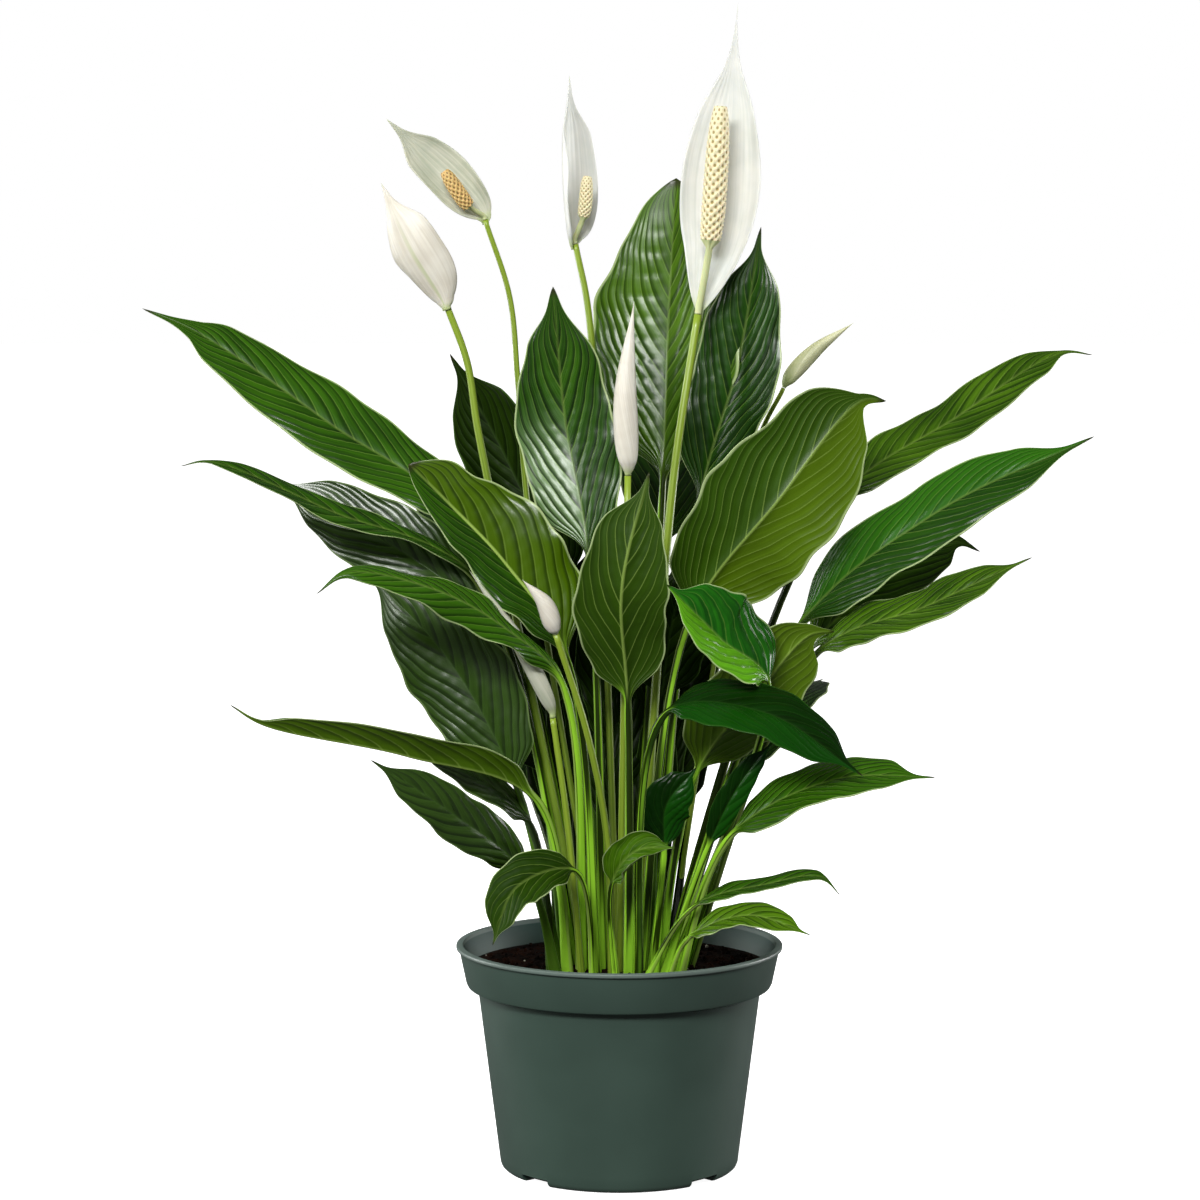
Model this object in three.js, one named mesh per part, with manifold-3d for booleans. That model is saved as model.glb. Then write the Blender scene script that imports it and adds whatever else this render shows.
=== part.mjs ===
// A peace lily in a round nursery pot.
// Millimetres, +Z up. The origin is the middle of the pot's flat base, and the plant's front faces -Y.
import * as THREE from 'three';
import { mergeVertices } from 'three/addons/utils/BufferGeometryUtils.js';
import Module from 'manifold-3d';

const wasm = await Module();
wasm.setup();

// Pot
const POT_HEIGHT = 114;
const LIP_RADIUS = 82.5;
const LIP_HEIGHT = 2.4;
const COLLAR_TOP_RADIUS = 81;
const COLLAR_FOOT_RADIUS = 77.5;
const COLLAR_DEPTH = 19;
const BODY_TOP_RADIUS = 71.5;
const BASE_RADIUS = 60;
const BASE_ROUND = 3;
const STEP_HEIGHT = 3.6;
const STEP_ROUND = 0.8;
const LIP_BEVEL = 0.5;
const WALL = 1.8;
const FLOOR = 2.4;
const ROUND_SEGMENTS = 36;
const DRAIN_SLOTS = 4;
const DRAIN_WIDTH = 12;
const DRAIN_HEIGHT = 4;
const DRAIN_REACH = 5;

// Soil
const SOIL_TOP = 102;
const SOIL_CLEARANCE = 0.4;
const SOIL_RINGS = [60, 46];
const SOIL_LUMP_HEIGHT = 1;
const SOIL_LUMP_SPACING = [57, 44];
const ROOT_DEPTH = 14;
const ROOT_LEAN = 0.7;
const HOLE_SIDES = 6;
const HOLE_CLEARANCE = 1.1;
const HOLE_ABOVE = 6;

// Leaves
const BLADE_THICKNESS = 0.7;
const PETIOLE_FOOT_RADIUS = 2.5;
const PETIOLE_NECK_RADIUS = 1.7;
const PETIOLE_STATIONS = [0.35, 0.7];
const BLADE_STATIONS = [0, 0.07, 0.2, 0.36, 0.54, 0.72, 0.88, 1];
const BLADE_MORPH = 0.14;
const BLADE_PEAK = 0.42;
const BLADE_RISE = 0.72;
const BLADE_ARCH = 0.1;
const EDGE_WAVES = 2.2;
const EDGE_WAVE_SHIFT = 0.3;
const MIDRIB_TAPER = 0.6;
const TIP_HALF_WIDTH = 0.6;
const ACROSS = [-1, -0.5, 0, 0.5, 1];

// Flowers
const STALK_SIDES = 6;
const STALK_SPAN_STEPS = 3;
const STALK_TAPER = 0.25;
const SEAT_GAP = 0.3;
const HOOD_THICKNESS = 0.9;
const HOOD_ACROSS = [-1, -0.66, -0.33, 0, 0.33, 0.66, 1];
const HOOD_STATIONS = [0, 0.06, 0.16, 0.3, 0.45, 0.6, 0.74, 0.87, 1];
const HOOD_PEAK = 0.4;
const HOOD_RISE = 0.75;
const HOOD_UNWRAP = 0.5;
const BUD_SIDES = 10;
const BUD_PEAK = 0.32;
const BUD_RISE = 0.5;
const BUD_TIP_RADIUS = 0.5;
const BUD_SEAM = 0.16;
const SPIKE_SIDES = 10;
const FLORET_RISE = 0.14;
const SPIKE_STEM_SHARE = 0.9;
const SPIKE_STEM_STATIONS = [0, 1, 1.8];
const SPIKE_FOOT_SHARE = 0.8;
const SPIKE_TOP = 0.94;

const FRONT = new THREE.Vector3(0, -1, 0);

const FINISHES = {
  pot: { color: 0x3a4b41, roughness: 0.4 },
  soil: { color: 0x1d100b, roughness: 0.95 },
  leaf: { color: 0x2c6b1d, roughness: 0.4 },
  stalk: { color: 0x7fa93a, roughness: 0.5 },
  spathe: { color: 0xf2f2ec, roughness: 0.6 },
  spadix: { color: 0xe9dcb0, roughness: 0.7 },
};

// Every leaf by the place it takes in the plant. foot is [x, y] where it leaves the soil, and blade lists
// the points of its midrib from the neck, where the stem ends, to the tip. facing is the way that the
// blade's upper side looks at the neck, and tipFacing at the tip where it turns. fold is the rise of its
// two halves from the midrib in radians, and wave the height of the waves along its edges.
const LEAVES = [
  { name: 'leaf_left_high', foot: [-18, 11], width: 42, fold: 0.15, wave: 2,
    blade: [[-70, 16, 316], [-151, 44, 377], [-219, 64, 422], [-247, 68, 434]],
    facing: [0.2, -0.8, 0.6] },
  { name: 'leaf_back_left_dark', foot: [-6, 17], width: 50, fold: 0.15, wave: 2,
    blade: [[-28, 34, 285], [-58, 45, 358], [-87, 50, 411]],
    facing: [-0.3, -1, 0.2] },
  { name: 'leaf_left_front', foot: [-12, -17], width: 44, fold: 0.35, wave: 2,
    blade: [[-20, -38, 288], [-58, -52, 331], [-104, -46, 364]],
    facing: [0.1, -0.8, 0.6] },
  { name: 'leaf_left_slim', foot: [-23, 3], width: 25, fold: 0.2, wave: 2,
    blade: [[-72, -14, 300], [-142, -34, 335], [-200, -48, 360], [-214, -50, 358]],
    facing: [0, -0.55, 0.8] },
  { name: 'leaf_left_shaded', foot: [-27, 9], width: 42, fold: 0.1, wave: 2,
    blade: [[-58, 0, 268], [-120, -8, 320], [-177, -4, 350]],
    facing: [0, -1, 0.4] },
  { name: 'leaf_left_folded', foot: [-19, -13], width: 24, fold: -0.2, wave: 2,
    blade: [[-28, -40, 246], [-87, -70, 293], [-130, -88, 309], [-145, -90, 299]],
    facing: [0, -0.6, 0.8] },
  { name: 'leaf_left_broad', foot: [-31, -2], width: 50, fold: 0.1, wave: 2,
    blade: [[-51, -8, 196], [-85, -22, 260], [-126, -22, 304]],
    facing: [0.3, 0.8, 0.3] },
  { name: 'leaf_left_low', foot: [-26, -16], width: 30, fold: 0.9, wave: 1,
    blade: [[-41, -38, 193], [-103, -74, 220], [-170, -100, 238], [-185, -104, 248]],
    facing: [0, 0.1, 1] },
  { name: 'leaf_left_low_dark', foot: [-34, -9], width: 30, fold: 0.1, wave: 1,
    blade: [[-45, -20, 178], [-74, -30, 205], [-104, -34, 220]],
    facing: [0, -0.5, 1] },
  { name: 'leaf_left_hanging', foot: [-32, -19], width: 30, fold: 0.1, wave: 1.5,
    blade: [[-46, -42, 156], [-82, -68, 191], [-120, -84, 219]],
    facing: [-0.4, -0.7, 0.5] },
  { name: 'leaf_over_rim', foot: [-13, -31], width: 30, fold: 0.15, wave: 1, petiole: 0.7,
    blade: [[-22, -54, 163], [-54, -66, 157], [-63, -70, 125]],
    facing: [-0.1, -0.8, 0.6], tipFacing: [-0.6, -0.8, 0] },
  { name: 'leaf_small_front', foot: [-2, -33], width: 20, fold: 0.2, wave: 1, petiole: 0.7,
    blade: [[-4, -48, 152], [8, -62, 171], [27, -70, 174]],
    facing: [0, -0.8, 0.6] },
  { name: 'leaf_round_front', foot: [17, -19], width: 25, fold: 0.1, wave: 1,
    blade: [[22, -28, 166], [23, -32, 189], [38, -32, 208]],
    facing: [0.2, -1, 0.2] },
  { name: 'leaf_centre_front', foot: [5, -18], width: 50, fold: 0.12, wave: 1.5,
    blade: [[4, -36, 250], [1, -60, 305], [14, -54, 356]],
    facing: [0.1, 1, -0.1] },
  { name: 'leaf_right_large', foot: [11, -12], width: 68, fold: 0.1, wave: 2,
    blade: [[34, -32, 280], [77, -44, 341], [118, -34, 389], [131, -30, 389]],
    facing: [-0.1, 1, 0.2] },
  { name: 'leaf_top_left', foot: [6, 9], width: 80, fold: 0.15, wave: 2,
    blade: [[22, 24, 345], [25, 34, 425], [29, 30, 500]],
    facing: [0.1, -1, 0.1] },
  { name: 'leaf_top_right', foot: [17, 9], width: 46, fold: 0.2, wave: 2,
    blade: [[40, 12, 335], [60, 12, 408], [71, 14, 475]],
    facing: [-0.1, -1, 0.2] },
  { name: 'leaf_inner_left', foot: [-8, -5], width: 52, fold: 0.12, wave: 2,
    blade: [[-15, -8, 310], [-27, -12, 379], [-33, -6, 445]],
    facing: [-0.1, -1, 0.3] },
  { name: 'leaf_right_high', foot: [25, 9], width: 30, fold: 0.15, wave: 2,
    blade: [[104, 16, 330], [174, 44, 379], [229, 64, 411], [246, 68, 410]],
    facing: [0, -0.6, 0.8] },
  { name: 'leaf_right_long', foot: [25, -4], width: 42, fold: 0.12, wave: 2,
    blade: [[88, -14, 274], [154, -38, 334], [229, -60, 373]],
    facing: [0, -0.7, 0.7] },
  { name: 'leaf_right_shaded', foot: [33, 3], width: 32, fold: 0.1, wave: 1.5,
    blade: [[94, -2, 262], [133, 2, 297], [169, 8, 317], [182, 8, 312]],
    facing: [0, -0.7, 0.7] },
  { name: 'leaf_right_slim', foot: [35, -4], width: 32, fold: 0.15, wave: 2,
    blade: [[96, -24, 262], [151, -56, 291], [197, -80, 316]],
    facing: [0, -0.6, 0.8] },
  { name: 'leaf_right_olive', foot: [20, -9], width: 50, fold: 0.1, wave: 2,
    blade: [[38, -22, 204], [68, -36, 246], [92, -40, 274], [106, -34, 276]],
    facing: [-0.2, 1, 0.4] },
  { name: 'leaf_right_curled', foot: [25, -15], width: 46, fold: 0.4, wave: 3,
    blade: [[66, -54, 255], [48, -72, 282], [22, -82, 303]],
    facing: [-0.3, -0.7, 0.6] },
  { name: 'leaf_right_dark', foot: [9, -27], width: 38, fold: 0.15, wave: 1,
    blade: [[22, -60, 238], [70, -83, 241], [116, -92, 212]],
    facing: [0, -0.6, 0.9] },
  { name: 'leaf_right_low', foot: [30, -23], width: 34, fold: 0.12, wave: 1.5,
    blade: [[54, -50, 176], [103, -70, 207], [151, -88, 211]],
    facing: [0, -0.6, 1] },
  { name: 'leaf_right_narrow', foot: [22, -27], width: 16, fold: 0.2, wave: 0.5, petiole: 0.8,
    blade: [[43, -46, 170], [58, -53, 202], [75, -56, 225]],
    facing: [0.2, -0.8, 0.4] },
  { name: 'leaf_right_lowest', foot: [13, -34], width: 15, fold: 0.2, wave: 1, petiole: 0.7,
    blade: [[36, -44, 140], [72, -64, 155], [97, -80, 161], [106, -84, 153]],
    facing: [0, -0.5, 1] },
  { name: 'leaf_right_rim', foot: [24, -35], width: 20, fold: 0.2, wave: 1, petiole: 0.7,
    blade: [[34, -50, 126], [62, -72, 141], [91, -96, 136]],
    facing: [0, -0.7, 1] },
  { name: 'leaf_inner_right', foot: [15, 0], width: 40, fold: 0.1, wave: 1.5,
    blade: [[21, 1, 236], [26, 1, 274], [35, 3, 310]],
    facing: [0, -1, 0.2] },
  { name: 'leaf_inner_low_left', foot: [-16, 18], width: 46, fold: 0.1, wave: 2,
    blade: [[-32, 21, 190], [-52, 23, 258], [-72, 23, 322]],
    facing: [-0.2, -1, 0.3] },
  { name: 'leaf_inner_low_centre', foot: [1, 25], width: 52, fold: 0.1, wave: 2,
    blade: [[-10, 34, 184], [-14, 40, 250], [-8, 44, 326]],
    facing: [0, -1, 0.2] },
  { name: 'leaf_back_right', foot: [18, 18], width: 50, fold: 0.12, wave: 2,
    blade: [[62, 64, 288], [92, 108, 342], [112, 160, 358]],
    facing: [-0.3, -0.4, 1] },
  { name: 'leaf_back_centre', foot: [10, 23], width: 54, fold: 0.12, wave: 2,
    blade: [[22, 72, 306], [28, 120, 364], [32, 184, 380]],
    facing: [0, -0.5, 1] },
  { name: 'leaf_back_left', foot: [-9, 27], width: 46, fold: 0.12, wave: 2,
    blade: [[-48, 70, 270], [-84, 116, 318], [-106, 172, 330]],
    facing: [0.3, -0.4, 1] },
  { name: 'leaf_back_low_right', foot: [28, 18], width: 40, fold: 0.12, wave: 2,
    blade: [[60, 52, 190], [90, 96, 228], [112, 148, 232]],
    facing: [-0.2, -0.3, 1] },
  { name: 'leaf_back_low_left', foot: [-21, 26], width: 38, fold: 0.12, wave: 2,
    blade: [[-44, 58, 178], [-70, 104, 212], [-90, 158, 212]],
    facing: [0.2, -0.3, 1] },
  { name: 'leaf_back_low_centre', foot: [6, 33], width: 40, fold: 0.12, wave: 2,
    blade: [[10, 68, 186], [8, 114, 226], [4, 170, 228]],
    facing: [0, -0.3, 1] },
];

// Every flower. stalk lists the points of its stem above the foot, and the hood (spathe) starts at the
// last one. hood lists the points of the hood's midline after that. An open hood wraps round its spike
// by the angle wrap to each side, and its hollow side looks along facing. spike gives the lowest and the
// highest floret of its spadix. A furled hood has no spike to see.
const FLOWERS = [
  { name: 'flower_tall', foot: [9, -3], radius: 2.6,
    stalk: [[26, -10, 342], [39, -1, 431]],
    hood: [[50, 14, 508], [59, 12, 586]], width: 47, wrap: 0.8, facing: [-0.25, -1, 0],
    spike: [[45, -5, 468], [50, -4, 534]], spikeRadius: 5 },
  { name: 'flower_upper_left', foot: [-10, 8], radius: 1.7,
    stalk: [[-46, 12, 333], [-52, 10, 398], [-67, 5, 478]],
    hood: [[-92, 8, 505], [-116, 4, 528]], width: 30, wrap: 1, facing: [0.35, -0.9, -0.2],
    spike: [[-75, -1, 485], [-87, -4, 502]], spikeRadius: 3.6 },
  { name: 'flower_cream', foot: [-16, -3], radius: 2.2,
    stalk: [[-64, -4, 340], [-73, -4, 389], [-86, -6, 436]],
    hood: [[-103, -13, 463], [-118, -8, 496]], width: 33, wrap: 1.3, facing: [0.4, 0.9, 0.1],
    spike: [[-91, -3, 447], [-103, -1, 468]], spikeRadius: 3.2 },
  { name: 'flower_top_centre', foot: [-1, 3], radius: 2,
    stalk: [[-15, 12, 428], [-22, 12, 466]],
    hood: [[-26, 17, 510], [-25, 14, 550]], width: 38, wrap: 1.2, facing: [0.9, -0.45, 0],
    spike: [[-18, 9, 480], [-16, 8, 500]], spikeRadius: 3.2 },
  { name: 'flower_right_bud', foot: [26, 26], radius: 1.5,
    stalk: [[70, 22, 366], [83, 20, 394]],
    hood: [[99, 18, 413], [118, 16, 427]], width: 9 },
  { name: 'flower_centre_bud', foot: [0, -10], radius: 2.2,
    stalk: [[4, -24, 352]],
    hood: [[3, -24, 394], [7, -22, 438]], width: 13 },
  { name: 'flower_small_bud', foot: [-4, -25], radius: 2,
    stalk: [[-6, -36, 171], [-16, -56, 228], [-31, -72, 278]],
    hood: [[-36, -75, 293], [-47, -78, 305]], width: 11 },
  { name: 'flower_left_bud', foot: [-19, -22], radius: 2,
    stalk: [[-26, -28, 181], [-33, -28, 233]],
    hood: [[-50, -30, 272], [-74, -31, 307]], width: 12 },
];

// Makes an indexed geometry from points and triangles of point numbers.
function geometryOf(points, triangles) {
  const geometry = new THREE.BufferGeometry().setFromPoints(points);
  geometry.setIndex(triangles.flat());
  geometry.computeVertexNormals();
  return geometry;
}

// Closes a row of rings into one body. Each ring holds its upper points from left to right, and then
// its lower points from right to left. Both faces are split along the same diagonals.
function loft(rings) {
  const size = rings[0].length;
  const half = size / 2;
  const triangles = [];
  for (let i = 0; i < rings.length - 1; i += 1) {
    for (let j = 0; j < size; j += 1) {
      const a = i * size + j;
      const b = i * size + ((j + 1) % size);
      const c = b + size;
      const d = a + size;
      if (j < half) {
        triangles.push([a, b, c], [a, c, d]);
      } else {
        triangles.push([a, b, d], [b, c, d]);
      }
    }
  }
  const last = (rings.length - 1) * size;
  for (let k = 0; k < half - 1; k += 1) {
    const below = size - 1 - k;
    triangles.push([k, below - 1, k + 1], [k, below, below - 1]);
    triangles.push([last + k, last + k + 1, last + below - 1]);
    triangles.push([last + k, last + below - 1, last + below]);
  }
  return geometryOf(rings.flat(), triangles);
}

// The centre of a curve at one place with the ways along it, up from it and to its right. The way up
// is facing, squared to the curve.
function frameAt(curve, along, facing) {
  const forward = curve.getTangent(along);
  const up = facing.clone().addScaledVector(forward, -facing.dot(forward)).normalize();
  const right = new THREE.Vector3().crossVectors(forward, up);
  return { centre: curve.getPoint(along), forward, right, up };
}

// A point off a frame's centre, by its distances to the right and up.
function offset(frame, right, up) {
  return frame.centre.clone().addScaledVector(frame.right, right).addScaledVector(frame.up, up);
}

// A round ring about a frame's centre, from the upper left to the right and round below.
function roundRing(frame, radius, sides) {
  const step = (2 * Math.PI) / sides;
  return Array.from({ length: sides }, (_, j) => {
    const angle = Math.PI - step * (j + 0.5);
    return offset(frame, radius * Math.cos(angle), radius * Math.sin(angle));
  });
}

// Width along a pointed oval, from 0 at both ends to 1 at its peak.
function ovalShare(s, peak, rise) {
  const fall = (rise * (1 - peak)) / peak;
  return (s / peak) ** rise * ((1 - s) / (1 - peak)) ** fall;
}

// A curve from the root in the soil through the foot and the points above it.
function stemCurve(foot, points) {
  const start = new THREE.Vector3(foot[0], foot[1], SOIL_TOP);
  const rest = points.map((point) => new THREE.Vector3(...point));
  const lean = rest[0].clone().sub(start);
  lean.multiplyScalar(ROOT_DEPTH / lean.z);
  const root = start.clone().sub(new THREE.Vector3(ROOT_LEAN * lean.x, ROOT_LEAN * lean.y, ROOT_DEPTH));
  return new THREE.CatmullRomCurve3([root, start, ...rest], false, 'centripetal');
}

// Where a share of the way from the curve's point number first to its end lies, measured along the
// straight lines between its points, as the curve's own parameter from 0 to 1.
function parameterAt(curve, first, share) {
  const { points } = curve;
  const lengths = points.slice(first, -1).map((point, i) => point.distanceTo(points[first + i + 1]));
  const total = lengths.reduce((sum, length) => sum + length, 0);
  let rest = share * total;
  let span = 0;
  while (span < lengths.length - 1 && rest > lengths[span]) {
    rest -= lengths[span];
    span += 1;
  }
  return (first + span + Math.min(1, rest / lengths[span])) / (points.length - 1);
}

// Frames from the neck of a stem down to its root. Each takes its way up from the frame above it.
function stemFrames(curve, stations, facing) {
  const frames = [];
  let up = facing;
  for (const station of [...stations].reverse()) {
    const frame = frameAt(curve, station, up);
    frames.unshift(frame);
    up = frame.up;
  }
  return frames;
}

// One ring of a blade at a share s of its length: round where it grows out of the stem, then flat.
function bladeRing(leaf, curve, s) {
  const facing = new THREE.Vector3(...leaf.facing);
  facing.lerp(new THREE.Vector3(...(leaf.tipFacing ?? leaf.facing)), s);
  const frame = frameAt(curve, parameterAt(curve, 2, s), facing);
  const radius = PETIOLE_NECK_RADIUS * (leaf.petiole ?? 1) * (1 - MIDRIB_TAPER * s);
  const halfWidth = Math.max(TIP_HALF_WIDTH, (leaf.width / 2) * ovalShare(s, BLADE_PEAK, BLADE_RISE));
  const share = Math.min(1, s / BLADE_MORPH);
  const flatness = share * share * (3 - 2 * share);
  const stem = roundRing(frame, radius, 2 * ACROSS.length);
  const surface = (u, side) => {
    const turn = EDGE_WAVES * s + EDGE_WAVE_SHIFT * Math.sign(u);
    const wave = leaf.wave * Math.sin(2 * Math.PI * turn) * u * u * (1 - s);
    const height = halfWidth * (Math.abs(u) * Math.sin(leaf.fold) - BLADE_ARCH * u * u) + wave;
    const keel = u === 0 && side < 0 ? radius * (1 - s) : 0;
    return offset(frame, u * halfWidth * Math.cos(leaf.fold), height + side * BLADE_THICKNESS / 2 - keel);
  };
  const upper = ACROSS.map((u) => surface(u, 1));
  const lower = ACROSS.map((u) => surface(u, -1)).reverse();
  return [...upper, ...lower].map((point, j) => stem[j].lerp(point, flatness));
}

function leafGeometry(leaf) {
  const curve = stemCurve(leaf.foot, leaf.blade);
  const spans = curve.points.length - 1;
  const stations = [0, 1, ...PETIOLE_STATIONS.map((share) => 1 + share)];
  const size = leaf.petiole ?? 1;
  const facing = new THREE.Vector3(...leaf.facing);
  const frames = stemFrames(curve, stations.map((station) => station / spans), facing);
  const stem = frames.map((frame, i) => {
    const share = Math.max(0, stations[i] - 1);
    const radius = size * THREE.MathUtils.lerp(PETIOLE_FOOT_RADIUS, PETIOLE_NECK_RADIUS, share);
    return roundRing(frame, radius, 2 * ACROSS.length);
  });
  return loft([...stem, ...BLADE_STATIONS.map((s) => bladeRing(leaf, curve, s))]);
}

// The end of a flower's stem, with the ways along it and up from it.
function stalkEnd(flower) {
  const curve = stemCurve(flower.foot, flower.stalk);
  const facing = flower.facing ? new THREE.Vector3(...flower.facing) : FRONT;
  return { curve, frame: frameAt(curve, 1, facing) };
}

function stalkRadius(flower, share) {
  return flower.radius * (1 - STALK_TAPER * share);
}

function stalkGeometry(flower) {
  const { curve, frame } = stalkEnd(flower);
  const spans = curve.points.length - 1;
  const steps = (spans - 1) * STALK_SPAN_STEPS;
  const stations = [0, ...Array.from({ length: steps + 1 }, (_, i) => 1 + i / STALK_SPAN_STEPS)];
  const frames = stemFrames(curve, stations.map((station) => station / spans), frame.up);
  const rings = frames.map((each, i) => {
    return roundRing(each, stalkRadius(flower, stations[i] / spans), STALK_SIDES);
  });
  return loft(rings);
}

// An open hood: a thin sheet that bends round the spike, pointed at its tip. Its claw holds the end of
// the stem from behind.
function openHoodGeometry(flower) {
  const { frame } = stalkEnd(flower);
  const clawRadius = stalkRadius(flower, 1) + SEAT_GAP + HOOD_THICKNESS / 2;
  const base = offset(frame, 0, -clawRadius).addScaledVector(frame.forward, -clawRadius);
  const knee = base.clone().addScaledVector(frame.forward, 2 * clawRadius);
  const points = [base, knee, ...flower.hood.map((point) => new THREE.Vector3(...point))];
  const curve = new THREE.CatmullRomCurve3(points, false, 'centripetal');
  const rings = HOOD_STATIONS.map((s) => {
    const each = frameAt(curve, parameterAt(curve, 0, s), frame.up);
    const oval = (flower.width / 2) * ovalShare(s, HOOD_PEAK, HOOD_RISE);
    const wrap = flower.wrap * (1 - HOOD_UNWRAP * s);
    const halfWidth = Math.max(oval, s < HOOD_PEAK ? clawRadius * wrap : BUD_TIP_RADIUS);
    const radius = halfWidth / wrap;
    const sheet = (u, side) => {
      const reach = radius - (side * HOOD_THICKNESS) / 2;
      return offset(each, reach * Math.sin(u * wrap), radius - reach * Math.cos(u * wrap));
    };
    return [
      ...HOOD_ACROSS.map((u) => sheet(u, 1)),
      ...HOOD_ACROSS.map((u) => sheet(u, -1)).reverse(),
    ];
  });
  return loft(rings);
}

// A furled hood: a slim spindle with the overlap of its edge winding up it. It stands on its stem.
function furledHoodGeometry(flower) {
  const { frame } = stalkEnd(flower);
  const base = frame.centre.clone().addScaledVector(frame.forward, SEAT_GAP);
  const knee = base.clone().addScaledVector(frame.forward, 2 * flower.radius);
  const points = [base, knee, ...flower.hood.map((point) => new THREE.Vector3(...point))];
  const curve = new THREE.CatmullRomCurve3(points, false, 'centripetal');
  const rings = HOOD_STATIONS.map((s) => {
    const each = frameAt(curve, parameterAt(curve, 0, s), frame.up);
    const oval = (flower.width / 2) * ovalShare(s, BUD_PEAK, BUD_RISE);
    const radius = Math.max(oval, s < BUD_PEAK ? stalkRadius(flower, 1) : BUD_TIP_RADIUS);
    return roundRing(each, radius, BUD_SIDES).map((point, j) => {
      const seam = 1 - BUD_SEAM * (j / BUD_SIDES);
      return each.centre.clone().lerp(point, seam);
    });
  });
  return loft(rings);
}

// A spike: a bare stem, then florets raised in slanting rows all over it, and a round end.
function spikeGeometry(flower) {
  const { frame } = stalkEnd(flower);
  const [lowest, highest] = flower.spike.map((point) => new THREE.Vector3(...point));
  const base = frame.centre.clone().addScaledVector(frame.forward, SEAT_GAP);
  const knee = base.clone().addScaledVector(frame.forward, flower.radius);
  const curve = new THREE.CatmullRomCurve3([base, knee, lowest, highest], false, 'centripetal');
  const stemRadius = SPIKE_STEM_SHARE * stalkRadius(flower, 1);
  const floretHeight = (2 * Math.PI * flower.spikeRadius) / SPIKE_SIDES;
  const rows = 2 * Math.round(lowest.distanceTo(highest) / floretHeight / 2);
  const rings = SPIKE_STEM_STATIONS.map((span) =>
    roundRing(frameAt(curve, span / 3, frame.up), stemRadius, SPIKE_SIDES));
  for (let row = 0; row <= rows; row += 1) {
    const share = row / rows;
    const each = frameAt(curve, (2 + share) / 3, frame.up);
    const dome = Math.sqrt(1 - (SPIKE_TOP * share) ** 6);
    const foot = THREE.MathUtils.lerp(SPIKE_FOOT_SHARE, 1, Math.sqrt(Math.min(1, 4 * share)));
    const ring = roundRing(each, flower.spikeRadius * dome * foot, SPIKE_SIDES);
    rings.push(ring.map((point, j) => {
      const raised = (j + row) % 2 === 0 ? FLORET_RISE : -FLORET_RISE;
      return point.addScaledVector(point.clone().sub(each.centre), raised * (1 - share ** 4));
    }));
  }
  return loft(rings);
}

// Turns an outline of [radius, height] points about the pot's axis, from the axis back to the axis.
function turned(outline, segments) {
  const points = outline.map(([radius, height]) => new THREE.Vector2(radius, height));
  const geometry = new THREE.LatheGeometry(points, segments);
  geometry.rotateX(Math.PI / 2);
  return geometry;
}

// A closed geometry as a solid that can be joined and cut.
function solidOf(geometry) {
  const bare = new THREE.BufferGeometry().setAttribute('position', geometry.getAttribute('position'));
  bare.setIndex(geometry.index);
  const merged = mergeVertices(bare, 1e-3);
  return new wasm.Manifold(new wasm.Mesh({
    numProp: 3,
    vertProperties: merged.attributes.position.array,
    triVerts: new Uint32Array(merged.index.array),
  }));
}

function geometryOfSolid(solid) {
  const { vertProperties, triVerts } = solid.getMesh();
  const geometry = new THREE.BufferGeometry();
  geometry.setAttribute('position', new THREE.BufferAttribute(vertProperties, 3));
  geometry.setIndex(new THREE.BufferAttribute(triVerts, 1));
  geometry.computeVertexNormals();
  return geometry;
}

// The pot's inner wall, as its radius at a height.
function innerRadius(height) {
  const { lerp } = THREE.MathUtils;
  const collarFoot = POT_HEIGHT - COLLAR_DEPTH;
  if (height < collarFoot) {
    return lerp(BASE_RADIUS, BODY_TOP_RADIUS, height / collarFoot) - WALL;
  }
  return lerp(COLLAR_FOOT_RADIUS, COLLAR_TOP_RADIUS, (height - collarFoot) / COLLAR_DEPTH) - WALL;
}

function potGeometry() {
  const collarFoot = POT_HEIGHT - COLLAR_DEPTH;
  const stepFoot = collarFoot - STEP_HEIGHT;
  const corner = BASE_ROUND * (1 - Math.SQRT1_2);
  const outline = [
    [0, 0],
    [BASE_RADIUS - BASE_ROUND, 0],
    [BASE_RADIUS - corner, corner],
    [BASE_RADIUS, BASE_ROUND],
    [BODY_TOP_RADIUS, stepFoot],
    [COLLAR_FOOT_RADIUS - STEP_ROUND, collarFoot - 2 * STEP_ROUND],
    [COLLAR_FOOT_RADIUS, collarFoot],
    [COLLAR_TOP_RADIUS, POT_HEIGHT - LIP_HEIGHT],
    [LIP_RADIUS, POT_HEIGHT - LIP_HEIGHT + LIP_BEVEL],
    [LIP_RADIUS, POT_HEIGHT - LIP_BEVEL],
    [LIP_RADIUS - LIP_BEVEL, POT_HEIGHT],
    [COLLAR_TOP_RADIUS - WALL, POT_HEIGHT],
    [innerRadius(collarFoot), collarFoot],
    [innerRadius(stepFoot), stepFoot],
    [innerRadius(FLOOR), FLOOR],
    [0, FLOOR],
  ];
  let pot = solidOf(turned(outline, ROUND_SEGMENTS));
  for (let i = 0; i < DRAIN_SLOTS; i += 1) {
    const slot = new THREE.BoxGeometry(2 * DRAIN_REACH, DRAIN_WIDTH, 2 * DRAIN_HEIGHT);
    slot.translate(BASE_RADIUS, 0, 0);
    slot.rotateZ((2 * Math.PI * (i + 0.5)) / DRAIN_SLOTS);
    pot = pot.subtract(solidOf(slot));
  }
  return geometryOfSolid(pot);
}

// Height of the soil's crumbly surface at a place.
function soilHeight(x, y) {
  const [across, deep] = SOIL_LUMP_SPACING;
  const lump = Math.sin((2 * Math.PI * x) / across) * Math.cos((2 * Math.PI * y) / deep);
  return SOIL_TOP + SOIL_LUMP_HEIGHT * lump;
}

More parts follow.
